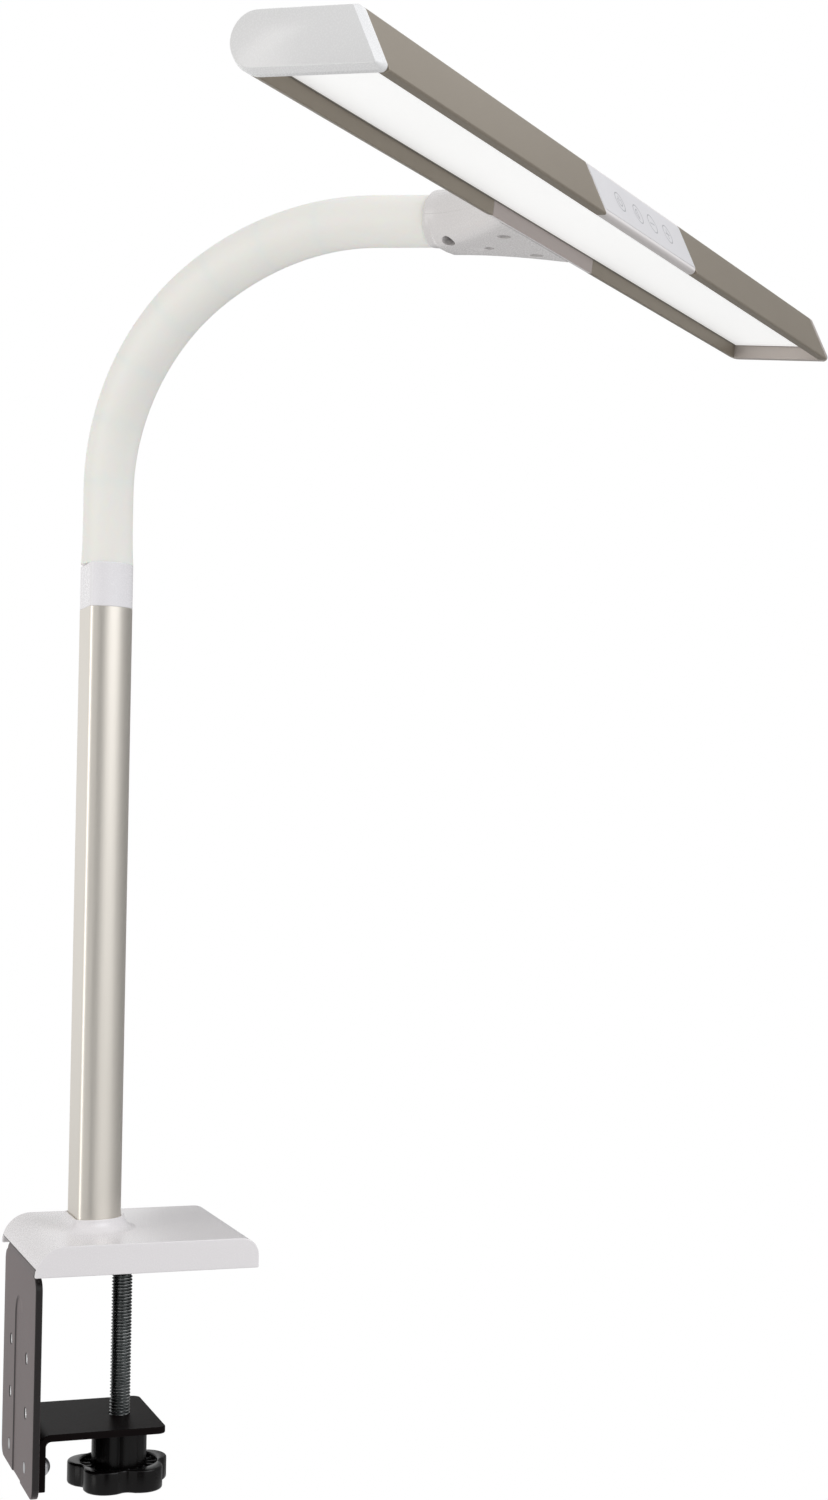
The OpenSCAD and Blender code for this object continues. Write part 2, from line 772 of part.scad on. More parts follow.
module neck_link(i, r_out, r_in) {
    radius = link_radius(i);
    difference() {
        at_rim(i) bent_tube(radius, link_angle(i) + 360 * end_reach / (2 * PI * radius), r_out, r_in);
        at_rim(i) hollow_end();
        at_rim(i + 1) past_round_end();
    }
}

// The straight length from below up to the first rim
module neck_start(length, r_out, r_in) {
    at_rim(1) difference() {
        translate([0, 0, -length]) straight_tube(length + end_reach, r_out, r_in);
        past_round_end();
    }
}

// The straight length from the last rim to the head
module neck_finish(length, r_out, r_in) {
    at_rim(link_count + 1) difference() {
        straight_tube(length, r_out, r_in);
        hollow_end();
    }
}

module neck_sleeve(i) {
    color(silicone) {
        if (i == 0) neck_start(neck_rise, neck_r, bore_r);
        else if (i > link_count) neck_finish(neck_run, neck_r, bore_r);
        else neck_link(i, neck_r, bore_r);
    }
}

module neck_core(i) {
    color([0.6, 0.6, 0.62]) {
        if (i == 0) neck_start(ferrule_top + neck_rise - retainer_z, core_r, duct_r);
        else if (i > link_count) neck_finish(neck_run + core_seat, core_r, duct_r);
        else neck_link(i, core_r, duct_r);
    }
}

// The head's own axes: X along the neck's end, Y along the head, Z up
module at_head() {
    at_rim(link_count + 1) translate([0, 0, neck_run]) rotate([0, -90, 0]) children();
}

// The head's section in X and Z, drawn in by inset: round rear, flat top and bottom, slanted front
module head_section(inset) {
    half = head_half_t - inset;
    edge_r = max(head_edge_r - inset, 0.2);
    low = [front_x(inset + edge_r, -half + edge_r), -half + edge_r];
    high = [front_x(inset + edge_r, half - edge_r), half - edge_r];
    normal = edge_r * [slant_x, slant_z];
    translate([rear_centre, 0]) circle(half);
    for (p = [low, high]) translate(p) circle(edge_r);
    polygon([[rear_centre, -half], [low[0], -half], low + normal,
             high + normal, [high[0], half], [rear_centre, half]]);
}

// The well under the diffuser, in X and Z, with its front wall parallel to the head's front
module well_outline() {
    low = -head_half_t - over;
    polygon([[well_rear, low], [front_x(well_inset, low), low],
             [front_x(well_inset, well_z), well_z], [well_rear, well_z]]);
}

// The part of the head's section above the well's roof, drawn in by inset
module section_above(inset, z) {
    intersection() {
        head_section(inset);
        translate([0, z]) square([through, head_t]);
    }
}

// A casing of the head between y0 and y1, hollow above the diffuser and with a well below it
module casing_shell(y0, y1) {
    difference() {
        along_y(y0, y1) head_section(0);
        along_y(y0 - over, y1 + over) {
            section_above(head_wall, well_z);
            well_outline();
        }
    }
}

module left_casing() {
    color([0.66, 0.62, 0.57]) at_head() casing_shell(casing_left, -middle_l / 2 - head_gap);
}

module right_casing() {
    color([0.66, 0.62, 0.57]) at_head() casing_shell(middle_l / 2 + head_gap, casing_right);
}

// Places on the slanted front face, with Z pointing out of it
module on_front() {
    translate([front_x(0, 0), 0, 0]) rotate([0, 90 - panel_tilt, 0]) children();
}

// White middle casing with a pocket for the touch panel and a tongue for the bracket
module middle_casing() {
    color(white) at_head() difference() {
        union() {
            casing_shell(-middle_l / 2, middle_l / 2);
            tongue(0);
        }
        on_front() translate([-panel_w / 2 - head_gap, -panel_l / 2 - head_gap, -panel_t])
            cube([panel_w + 2 * head_gap, panel_l + 2 * head_gap, panel_t + over]);
        translate([rear_centre - through, 0, 0]) rotate([0, 90, 0]) cylinder(r = duct_r, h = through);
        at_fan_screws() cylinder(r = fan_screw_r + thread_gap, h = head_t, center = true);
    }
}

// Flat tongue behind the middle casing, grown by gap
module tongue(gap) {
    translate([bracket_l - tongue_l - gap, -tongue_w / 2 - gap, -tongue_t / 2 - gap])
        cube([tongue_l + head_wall + gap, tongue_w + 2 * gap, tongue_t + 2 * gap]);
}

module at_fan_screws() {
    for (side = [-1, 1]) translate([bracket_l - fan_screw_back, side * fan_screw_gap / 2, 0]) children();
}

module touch_panel() {
    color([0.93, 0.93, 0.94]) at_head() on_front() translate([-panel_w / 2, -panel_l / 2, -panel_t])
        cube([panel_w, panel_l, panel_t]);
}

// Board behind the touch panel, against the casing's wall
module touch_board() {
    color([0.1, 0.35, 0.2]) at_head() on_front()
        translate([-touch_board_up, -panel_l / 2 + cap_t, -head_wall - head_gap - board_t])
            cube([touch_board_w, panel_l - 2 * cap_t, board_t]);
}

// End cap: a plate of the head's own section, from the casing's end at y outwards, and a hollow plug
// that fits the casing above the diffuser
module end_cap(y) {
    plug = head_wall + fit_gap;
    plug_z = well_z + diffuser_t + 3 * head_gap;
    along_y(y + head_gap, y + cap_t) head_section(0);
    difference() {
        along_y(y - plug_l, y + over) section_above(plug, plug_z);
        along_y(y - plug_l - over, y) head_section(plug + head_wall);
    }
}

module left_end_cap() { color(white) at_head() mirror([0, 1, 0]) end_cap(-casing_left); }
module right_end_cap() { color([0.66, 0.62, 0.57]) at_head() end_cap(casing_right); }

// Flat bar under the roof that joins the three casings and carries the heat away
module head_spine() {
    color([0.7, 0.7, 0.7]) at_head() translate([spine_x, inner_left, roof_z - spine_t - head_gap])
        cube([spine_w, inner_right - inner_left, spine_t]);
}

module lamp_board() {
    color([0.9, 0.9, 0.88]) at_head() translate([board_x, inner_left, lamp_z - head_gap])
        cube([board_w, inner_right - inner_left, board_t]);
}

module lamps() {
    color([1, 0.93, 0.7]) at_head() for (k = [0:led_count - 1])
        translate([board_x + (board_w - led_size[0]) / 2,
                   head_offset + (k - (led_count - 1) / 2) * led_pitch - led_size[1] / 2,
                   lamp_z - head_gap - led_size[2]])
            cube(led_size);
}

// Opal sheet that lies on the rail and the lip, with its front edge cut to the casing's slant
module diffuser() {
    color([0.97, 0.97, 0.95]) at_head() along_y(casing_left, casing_right) intersection() {
        section_above(head_wall + head_gap, well_z + head_gap);
        translate([well_rear - well_lap, -head_half_t])
            square([head_w, well_depth + head_gap + diffuser_t]);
    }
}

// The bracket's outside: a round barrel with a rounded edge, which spreads sideways and thins towards the
// head. Its underside is level with the neck at first, then steps down to a flat pad.
function spread(x) = max(0, (x - barrel_l) / (bracket_l + head_half_t - barrel_l));
function swell(x) = x < barrel_edge ? sqrt(1 - pow(1 - x / barrel_edge, 2)) : 1;
function ramp(t) = let(u = min(1, max(0, t))) u * u * (3 - 2 * u);
function pad_share(x) = ramp((x - pad_step[0]) / (pad_step[1] - pad_step[0]));
function rounded(c, power) = sign(c) * pow(abs(c), 2 / power);
function fan_ring(x) = let(s = spread(x), top_r = barrel_start_r + (barrel_r - barrel_start_r) * swell(x),
                           low_r = barrel_start_r + (barrel_r - barrel_start_r) * pad_share(x),
                           half_w = top_r + (fan_half_w - barrel_r) * pow(s, 1.6),
                           half_top = top_r + (fan_half_t - barrel_r) * s * s,
                           half_low = low_r + (fan_half_t - barrel_r) * s,
                           power = 2 + 4 * s, low_power = power + 2 * pad_share(x) * (1 - s))
    [for (k = [0:fan_points - 1]) let(a = 360 * (k + 0.5) / fan_points, high = a < 180)
        [x, half_w * rounded(cos(a), high ? power : low_power),
            (high ? half_top : half_low) * rounded(sin(a), high ? power : low_power)]];

module bracket_body() {
    edge = [for (t = [0, 0.12, 0.4, 0.7]) barrel_edge * t];
    step = [for (t = [0, 0.3, 0.6, 1]) pad_step[0] + (pad_step[1] - pad_step[0]) * t];
    fan = [for (k = [1:fan_steps]) pad_step[1] + (bracket_l + head_half_t - pad_step[1]) * k / fan_steps];
    difference() {
        loft([for (x = concat(edge, [barrel_edge], step, fan)) fan_ring(x)]);
        along_y(-through, through) head_section(-head_gap);
        rotate([0, 90, 0]) translate([0, 0, -over]) cylinder(r = bore_r, h = core_seat + head_gap + over);
        // Room for the wires, round the post of the middle screw
        difference() {
            translate([core_seat, -wire_room_w / 2, -tongue_t / 2])
                cube([bracket_l - core_seat, wire_room_w, tongue_t]);
            translate([middle_screw_x, 0, 0]) cylinder(r = middle_post_r, h = head_t, center = true);
        }
        tongue(head_gap);
    }
}

module bracket_upper() {
    color(white) at_head() difference() {
        bracket_body();
        translate([-through / 2, -through / 2, -through]) cube(through);
        translate([middle_screw_x, 0, -over])
            cylinder(r = middle_screw_r + thread_gap, h = over + screw_reach + thread_gap);
    }
}

module bracket_lower() {
    color(white) at_head() difference() {
        bracket_body();
        translate([-through / 2, -through / 2, 0]) cube(through);
        at_fan_screws() screw_recess(recess_d / 2, fan_screw_r);
        translate([middle_screw_x, 0, 0]) screw_recess(middle_recess_r, middle_screw_r);
        at_barrel_screw() translate([0, 0, -through / 2]) cylinder(d = recess_d, h = through / 2);
    }
}

// Place of the barrel's screw, with -Z pointing out of its hole on the lower left
module at_barrel_screw() {
    translate([barrel_screw_x, 0, 0]) rotate([barrel_screw_turn, 0, 0]) children();
}

// A recess from below, and the screw's hole above it
module screw_recess(r, shank_r) {
    translate([0, 0, -head_t]) cylinder(r = r, h = head_t - recess_roof);
    translate([0, 0, -head_t]) cylinder(r = shank_r + thread_gap, h = head_t + over);
}

// Two screws into the casing's tongue, one that closes the bracket, and the short screw that holds the
// neck's core in the barrel
module fan_screws() {
    color("silver") at_head() {
        at_fan_screws() recess_screw(recess_d / 2 - fit_gap, fan_screw_r, tongue_reach);
        translate([middle_screw_x, 0, 0]) recess_screw(middle_recess_r - fit_gap, middle_screw_r, screw_reach);
        at_barrel_screw() translate([0, 0, -core_r - head_gap - grub_l])
            cylinder(d = recess_d - 2 * thread_gap, h = grub_l);
    }
}

module recess_screw(r, shank_r, reach) {
    translate([0, 0, -recess_roof - screw_head_h]) cylinder(r = r, h = screw_head_h);
    translate([0, 0, -recess_roof - over]) cylinder(r = shank_r, h = recess_roof + over + reach);
}

base_cover();
clamp_frame();
jaw_pad_rear();
jaw_pad_front();
cover_screws();
dc_inlet();
lower_bracket();
bracket_bolts();
pressure_pad();
clamp_screw();
star_knob();
pole();
pole_foot();
pole_bolts();
ferrule();
neck_retainer();
neck_sleeve(0);  // neck_sleeve_0
neck_sleeve(1);  // neck_sleeve_1
neck_sleeve(2);  // neck_sleeve_2
neck_sleeve(3);  // neck_sleeve_3
neck_sleeve(4);  // neck_sleeve_4
neck_sleeve(5);  // neck_sleeve_5
neck_sleeve(6);  // neck_sleeve_6
neck_sleeve(7);  // neck_sleeve_7
neck_sleeve(8);  // neck_sleeve_8
neck_core(0);  // neck_core_0
neck_core(1);  // neck_core_1
neck_core(2);  // neck_core_2
neck_core(3);  // neck_core_3
neck_core(4);  // neck_core_4
neck_core(5);  // neck_core_5
neck_core(6);  // neck_core_6
neck_core(7);  // neck_core_7
neck_core(8);  // neck_core_8
bracket_upper();
bracket_lower();
fan_screws();
middle_casing();
left_casing();
right_casing();
left_end_cap();
right_end_cap();
head_spine();
lamp_board();
lamps();
diffuser();
touch_panel();
touch_board();
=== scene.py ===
"""Clamp lamp: a steel table clamp under a white cover, a D-section pole, a bendable neck and a bar head.

Metres, +Z up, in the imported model's own frame: the origin is on the pole's axis, level with the table top.
"""
import json
import math

import bmesh
import bpy
import numpy as np
from mathutils import Matrix, Vector

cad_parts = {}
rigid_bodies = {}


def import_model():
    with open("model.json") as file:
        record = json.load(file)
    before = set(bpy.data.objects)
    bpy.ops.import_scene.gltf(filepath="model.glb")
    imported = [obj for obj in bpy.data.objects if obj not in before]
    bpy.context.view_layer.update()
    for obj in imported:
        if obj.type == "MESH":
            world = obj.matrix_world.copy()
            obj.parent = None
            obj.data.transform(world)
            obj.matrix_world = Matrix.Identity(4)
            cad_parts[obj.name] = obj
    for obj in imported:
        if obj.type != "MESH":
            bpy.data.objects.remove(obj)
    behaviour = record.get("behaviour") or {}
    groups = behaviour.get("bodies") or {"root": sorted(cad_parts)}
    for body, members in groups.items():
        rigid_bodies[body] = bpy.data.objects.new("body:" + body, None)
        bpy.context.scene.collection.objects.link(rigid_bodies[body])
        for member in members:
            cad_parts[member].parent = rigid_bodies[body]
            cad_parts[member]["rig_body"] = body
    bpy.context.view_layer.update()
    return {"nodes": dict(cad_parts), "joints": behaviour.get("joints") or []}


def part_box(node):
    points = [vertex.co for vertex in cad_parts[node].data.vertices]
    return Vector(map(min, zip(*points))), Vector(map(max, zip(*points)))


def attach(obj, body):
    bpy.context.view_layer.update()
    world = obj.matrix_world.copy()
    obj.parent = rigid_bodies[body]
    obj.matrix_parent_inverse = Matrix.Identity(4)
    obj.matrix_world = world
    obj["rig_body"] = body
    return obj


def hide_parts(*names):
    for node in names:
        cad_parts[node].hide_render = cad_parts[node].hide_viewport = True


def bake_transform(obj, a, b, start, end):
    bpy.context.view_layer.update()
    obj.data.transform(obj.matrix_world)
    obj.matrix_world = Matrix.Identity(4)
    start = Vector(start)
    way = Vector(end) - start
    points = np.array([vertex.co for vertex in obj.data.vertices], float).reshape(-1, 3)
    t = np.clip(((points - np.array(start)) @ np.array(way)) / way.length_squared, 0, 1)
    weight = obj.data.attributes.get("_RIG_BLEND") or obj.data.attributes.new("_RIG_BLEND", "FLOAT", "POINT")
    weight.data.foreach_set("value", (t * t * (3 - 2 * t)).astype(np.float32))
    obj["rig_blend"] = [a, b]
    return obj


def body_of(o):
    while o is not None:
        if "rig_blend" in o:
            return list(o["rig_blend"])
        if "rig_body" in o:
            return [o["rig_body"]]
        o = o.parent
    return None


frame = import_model()
mm = 0.001

# The photograph's view: the camera stands left of the clamp, a little below the lamp's middle, and looks up
# slightly. Its lens is long, and the picture is 828 by 1500 pixels.
camera_place = np.array([-211.06, -1047.85, 198.93]) * mm
camera_yaw = math.radians(19.25)
camera_pitch = math.radians(2.16)
camera_roll = math.radians(0.83)
focal_pixels = 2250
picture_height = 1500
sensor_height = 36

ahead = np.array([
    math.cos(camera_pitch) * math.sin(camera_yaw),
    math.cos(camera_pitch) * math.cos(camera_yaw),
    math.sin(camera_pitch),
])
level_right = np.array([math.cos(camera_yaw), -math.sin(camera_yaw), 0])
level_up = np.cross(level_right, ahead)
view_right = math.cos(camera_roll) * level_right + math.sin(camera_roll) * level_up
view_up = math.cos(camera_roll) * level_up - math.sin(camera_roll) * level_right
camera_data = bpy.data.cameras.new("camera")
camera_data.sensor_fit = "VERTICAL"
camera_data.sensor_height = sensor_height
camera_data.lens = sensor_height * focal_pixels / picture_height
camera = bpy.data.objects.new("camera", camera_data)
turn = Matrix([view_right, view_up, -ahead]).transposed().to_4x4()
camera.matrix_world = Matrix.Translation(camera_place) @ turn
bpy.context.scene.collection.objects.link(camera)
bpy.context.scene.camera = camera

# Clamp frame: one steel sheet, cut, pierced, pressed with a stiffening channel and bent over at the top.
# It is powder-coated black, with a fine orange-peel skin and edges rounded by the coat.


class Wire:
    """A node's output, for shader maths written as an expression: each operator adds a Math node."""

    def __init__(self, nodes, socket):
        self.nodes = nodes
        self.socket = socket

    def maths(self, operation, first, second):
        return self.nodes.node("ShaderNodeMath", {"operation": operation}, {0: first, 1: second})

    def __add__(self, other):
        return self.maths("ADD", self, other)

    def __sub__(self, other):
        return self.maths("SUBTRACT", self, other)

    def __rsub__(self, other):
        return self.maths("SUBTRACT", other, self)

    def __mul__(self, other):
        return self.maths("MULTIPLY", self, other)

    __radd__ = __add__
    __rmul__ = __mul__

    def least(self, other):
        return self.maths("MINIMUM", self, other)

    def most(self, other):
        return self.maths("MAXIMUM", self, other)


class Nodes:
    """A tree of shader nodes, to which one method adds every node."""

    def __init__(self, tree):
        self.tree = tree

    def feed(self, node, sockets):
        """Sets a node's sockets to values, or links them to other nodes' outputs."""
        for key, value in sockets.items():
            if isinstance(value, Wire):
                self.tree.links.new(value.socket, node.inputs[key])
            else:
                node.inputs[key].default_value = value

    def node(self, kind, settings, sockets, output=0):
        """Adds a node of that type, sets it up, feeds its sockets and gives one of its outputs."""
        added = self.tree.nodes.new(kind)
        for key, value in settings.items():
            setattr(added, key, value)
        self.feed(added, sockets)
        return Wire(self, added.outputs[output])


class Finish(Nodes):
    """A material of nodes round one Principled shader, whose constant sockets are given at the start."""

    def __init__(self, name, constants):
        self.material = bpy.data.materials.new(name)
        self.material.use_nodes = True
        super().__init__(self.material.node_tree)
        self.shader = self.tree.nodes["Principled BSDF"]
        self.feed(self.shader, constants)
        self.place = self.node("ShaderNodeTexCoord", {}, {}, "Object")

    def noise(self, size, detail=2.0, stretch=(1, 1, 1)):
        """Noise whose blotches are about that size in metres, drawn out along the axes by stretch."""
        place = self.node("ShaderNodeMapping", {}, {"Vector": self.place, "Scale": stretch})
        sockets = {"Vector": place, "Scale": 1 / size, "Detail": detail}
        return self.node("ShaderNodeTexNoise", {}, sockets, "Fac")

    def along(self, axis, start):
        """Distance in metres along a direction, from a starting place."""
        sockets = {0: self.place, 1: tuple(map(float, axis))}
        value = self.node("ShaderNodeVectorMath", {"operation": "DOT_PRODUCT"}, sockets, "Value")
        return value - float(np.dot(axis, start))

    def blend(self, share, first, second):
        """A colour between two, by a share from 0 to 1."""
        return self.node("ShaderNodeMix", {"data_type": "RGBA"}, {0: share, 6: first, 7: second}, 2)

    def ramp(self, value, low, high):
        """0 below low, 1 above high and straight between them."""
        return self.node("ShaderNodeMapRange", {}, {"Value": value, "From Min": low, "From Max": high})

    def bump(self, height, depth):
        """Relief of that depth in metres, which feeds the shader's normal."""
        relief = self.node("ShaderNodeBump", {}, {"Height": height, "Distance": depth, "Strength": 1.0})
        self.feed(self.shader, {"Normal": relief})


def rgb(red, green, blue):
    """A colour as it shows on a screen, from 0 to 255, turned into light."""
    screen = np.array([red, green, blue]) / 255
    light = np.where(screen <= 0.04045, screen / 12.92, ((screen + 0.055) / 1.055) ** 2.4)
    return (*light.tolist(), 1.0)


def powder_coat(name, gloss, dust):
    """Black powder coat: slow tone changes, a roughness that wanders, the skin's orange peel and a share of
    brownish dust that shows at a low angle."""
    finish = Finish(name, {
        "Specular IOR Level": gloss,
        "Sheen Weight": dust,
        "Sheen Roughness": 0.4,
        "Sheen Tint": (1, 0.74, 0.74, 1),
    })
    cloud = finish.noise(30 * mm)
    grain = finish.noise(0.6 * mm, 3)
    tone = finish.blend(cloud, rgb(16, 12, 12), rgb(22, 18, 18))
    finish.feed(finish.shader, {"Base Color": tone, "Roughness": 0.34 + grain * 0.14})
    finish.bump(finish.noise(1.1 * mm, 1), 0.04 * mm)
    return finish.material


def link_piece(name, mesh):
    """An object at the origin for a finished mesh, linked into the scene."""
    piece = bpy.data.objects.new(name, mesh)
    bpy.context.scene.collection.objects.link(piece)
    return piece


def piece_from(name, points, faces, material, sharp_angle=40.0):
    """A mesh from points and faces, with edges sharp that turn by more degrees than the given angle. A
    closed mesh that comes out inside out is turned round by its volume."""
    mesh = bpy.data.meshes.new(name)
    mesh.from_pydata(np.asarray(points).tolist(), [], [list(map(int, face)) for face in faces])
    mesh.validate()
    work = bmesh.new()
    work.from_mesh(mesh)
    if work.calc_volume(signed=True) < 0:
        bmesh.ops.reverse_faces(work, faces=work.faces)
    work.to_mesh(mesh)
    work.free()
    mesh.shade_smooth()
    mesh.set_sharp_from_angle(angle=math.radians(sharp_angle))
    mesh.materials.append(material)
    return link_piece(name, mesh)


def softened(node, width, material, segments=3, reshape=None, sharp_angle=40.0):
    """A merged copy of a solid's mesh, with its sharp edges rounded to that width, in the solid's place. A
    reshape takes the copy's points and gives them back moved."""
    work = bmesh.new()
    work.from_mesh(frame["nodes"][node].data)
    bmesh.ops.remove_doubles(work, verts=work.verts, dist=1e-6)
    bmesh.ops.dissolve_limit(work, angle_limit=math.radians(0.6), verts=work.verts, edges=work.edges)
    mesh = bpy.data.meshes.new(node + "_soft")
    work.to_mesh(mesh)
    work.free()
    if reshape:
        places = np.empty(3 * len(mesh.vertices), np.float32)
        mesh.vertices.foreach_get("co", places)
        moved = reshape(places.astype(float).reshape(-1, 3))
        mesh.vertices.foreach_set("co", moved.astype(np.float32).ravel())
        mesh.update()
    mesh.shade_smooth()
    mesh.set_sharp_from_angle(angle=math.radians(sharp_angle))
    mesh.materials.clear()
    mesh.materials.append(material)
    piece = link_piece(node + "_soft", mesh)
    rounding = piece.modifiers.new("edges", "BEVEL")
    rounding.width = width
    rounding.segments = segments
    rounding.limit_method = "ANGLE"
    rounding.angle_limit = math.radians(40)
    rounding.use_clamp_overlap = False
    rounding.harden_normals = True
    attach(piece, body_of(frame["nodes"][node])[0])
    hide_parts(node)


def dress(material, *nodes):
    """Puts a material on solids that stay as they are."""
    for node in nodes:
        mesh = frame["nodes"][node].data
        mesh.materials.clear()
        mesh.materials.append(material)


plate_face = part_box("clamp_frame")[0][0]
pressed_depth = 1.8 * mm
channel_depth = 0.5 * mm
channel_slope = 1.2 * mm
channel_half = 11.2 * mm
channel_centre = -27 * mm
sheet_edge = 0.5 * mm
sheet_sharp_angle = 6


def shallow_channel(places):
    """Brings the channel's floor out from its pressed depth to a shallow one, and draws its outline in about
    the round end's centre, so that the walls slope."""
    margin = 0.6 * mm
    at_floor = np.abs(places[:, 0] - plate_face - pressed_depth) < margin
    below_end = places[:, 2] < channel_centre + channel_half + margin
    floor = at_floor & below_end & (np.abs(places[:, 1]) < channel_half + margin)
    narrower = 1 - channel_slope / channel_half
    above = np.maximum(places[:, 2] - channel_centre, 0)
    places[floor, 0] = plate_face + channel_depth
    places[floor, 1] *= narrower
    places[floor, 2] -= (above * (1 - narrower))[floor]
    return places


softened("clamp_frame", sheet_edge, powder_coat("black_powder_coat", 0.4, 0.3),
         reshape=shallow_channel, sharp_angle=sheet_sharp_angle)

# Hole threads: the plate's six holes are tapped after coating, so their walls are bare steel below a coated
# edge. The lower bracket's bolts fill the two lowest.
hole_rows = (-40.4 * mm, -64.8 * mm)
hole_sides = (-21.2 * mm, 21.2 * mm)
thread_start = 0.45 * mm
thread_end = 3.0 * mm
thread_outer = 2.6 * mm
thread_inner = 2.35 * mm
hole_pitch = 0.8 * mm
hole_wave = 0.12 * mm


def grid_faces(rows, columns, loop=False):
    """Quads between neighbours in a grid whose columns close on themselves, and for a loop its rows too."""
    row, column = np.meshgrid(np.arange(rows if loop else rows - 1), np.arange(columns), indexing="ij")
    next_row = (row + 1) % rows
    next_column = (column + 1) % columns
    corners = [row * columns + column, row * columns + next_column,
               next_row * columns + next_column, next_row * columns + column]
    return np.stack(corners, -1).reshape(-1, 4)


def hole_thread(y, z, columns=40):
    """A short tube along x: its inner wall, which rises and falls with each turn, then its outer one."""
    depth = np.linspace(thread_start, thread_end, 25)
    wave = hole_wave * (1 - np.cos(2 * np.pi * depth / hole_pitch)) / 2
    x = plate_face + np.concatenate([depth, depth[::-1]])
    radius = np.concatenate([thread_inner + wave, np.full(len(depth), thread_outer)])
    angle = np.linspace(0, 2 * np.pi, columns, endpoint=False)
    across = y + radius[:, None] * np.cos(angle)
    up = z + radius[:, None] * np.sin(angle)
    return np.stack([np.repeat(x[:, None], columns, 1), across, up], -1)


def bare_steel():
    """Freshly cut steel: bright, with fine tool marks."""
    finish = Finish("bare_steel", {"Metallic": 1.0})
    marks = finish.noise(0.4 * mm, 2)
    tone = finish.blend(marks, rgb(222, 222, 222), rgb(240, 240, 240))
    finish.feed(finish.shader, {"Base Color": tone, "Roughness": 0.3 + marks * 0.15})
    finish.bump(marks, 0.02 * mm)
    return finish.material


cut_steel = bare_steel()
for row, hole_height in enumerate(hole_rows, 1):
    for column, hole_side in enumerate(hole_sides, 1):
        tube = hole_thread(hole_side, hole_height)
        threads = piece_from(f"hole_thread_{row}_{column}", tube.reshape(-1, 3),
                             grid_faces(*tube.shape[:2], loop=True), cut_steel)
        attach(threads, "clamp")

# Jaw rubber and small screws: two flat rubber strips are glued under the flange, and plated screws come up
# through it into the cover's bosses and the pole's foot. The lower bracket's bolts are plated alike.


def soft_rubber(name, dark, light):
    """Matt moulded rubber, a little dusty in patches."""
    finish = Finish(name, {"Specular IOR Level": 0.3})
    dust = finish.noise(4 * mm, 4)
    grain = finish.noise(0.5 * mm, 2)
    tone = finish.blend(dust, dark, light)
    finish.feed(finish.shader, {"Base Color": tone, "Roughness": 0.72 + grain * 0.2})
    finish.bump(grain, 0.03 * mm)
    return finish.material


def zinc_plate():
    """Bright zinc plate with faint turning marks and a few dull patches."""
    finish = Finish("zinc_plate", {"Metallic": 1.0})
    patch = finish.noise(2.5 * mm, 3)
    marks = finish.noise(0.4 * mm, 2, (1, 1, 6))
    tone = finish.blend(patch, rgb(196, 196, 198), rgb(168, 168, 170))
    finish.feed(finish.shader, {"Base Color": tone, "Roughness": 0.24 + patch * 0.2})
    finish.bump(marks, 0.02 * mm)
    return finish.material


zinc = zinc_plate()
dress(soft_rubber("jaw_rubber", rgb(34, 34, 35), rgb(50, 49, 48)), "jaw_pad_rear", "jaw_pad_front")
dress(zinc, "cover_screws", "pole_bolts", "bracket_bolts")

# Lower bracket: a second bent sheet of the same coated steel. Its leg is bolted to the back plate, and the
# clamp screw runs in its shelf.
softened("lower_bracket", sheet_edge, powder_coat("dull_powder_coat", 0.02, 0.0),
         sharp_angle=sheet_sharp_angle)

# Pressure pad: a thick rubber disc that swivels on the screw's plain tip. It is pushed on from above, and it
# presses on the table from below.
pad_rubber = soft_rubber("pad_rubber", rgb(26, 26, 27), rgb(40, 40, 40))
softened("pressure_pad", 0.8 * mm, pad_rubber)

# Clamp screw: a steel rod with a rolled M10 thread, oiled dark. The crests are worn bright, and a thin plain
# tip runs in the pressure pad.
thread_pitch = 1.5 * mm
thread_depth = 0.62 * mm
flank_slope = 5.2
tip_length = 3.6 * mm
tip_radius = 3 * mm
tip_chamfer = 0.5 * mm
crest_low = 4.45 * mm
crest_high = 4.78 * mm
screw_axis = next(np.array(j["pos_m"]) for j in frame["joints"] if j["name"] == "screw_turn")


def lidded(points):
    """Points and faces of a stack of rings (rows, columns, 3), closed with a flat face at either end."""
    rows, columns = points.shape[:2]
    faces = grid_faces(rows, columns).tolist()
    faces.append(list(range(columns - 1, -1, -1)))
    faces.append(list(range((rows - 1) * columns, rows * columns)))
    return points.reshape(-1, 3), faces


def threaded_rod(low, high, radius, columns=40):
    """Radius over height and angle: a trapezoid wave of height over pitch less turn, faded out at both ends,
    then a plain step in to the tip."""
    tip_low = high - tip_length
    height = np.arange(low, tip_low, thread_pitch / 10)
    angle = np.linspace(0, 2 * np.pi, columns, endpoint=False)
    phase = (height[:, None] / thread_pitch - angle[None, :] / (2 * np.pi)) % 1
    wave = np.clip(1.5 - np.abs(phase - 0.5) * flank_slope, 0, 1)
    fade = np.clip(np.minimum(height - low, tip_low - height) / thread_pitch, 0, 1)
    wall = radius - thread_depth * (1 - wave * fade[:, None])
    end_heights = np.array([tip_low, tip_low + 0.01 * mm, high - tip_chamfer, high])
    end_radii = np.array([radius - thread_depth, tip_radius, tip_radius, tip_radius - tip_chamfer])
    wall = np.vstack([wall, np.repeat(end_radii[:, None], columns, 1)])
    height = np.concatenate([height, end_heights])
    ring = np.stack([np.cos(angle), np.sin(angle)], -1)
    flat = screw_axis[:2] + wall[:, :, None] * ring[None, :, :]
    up = np.repeat(height[:, None, None], columns, 1)
    return np.concatenate([flat, up], -1)


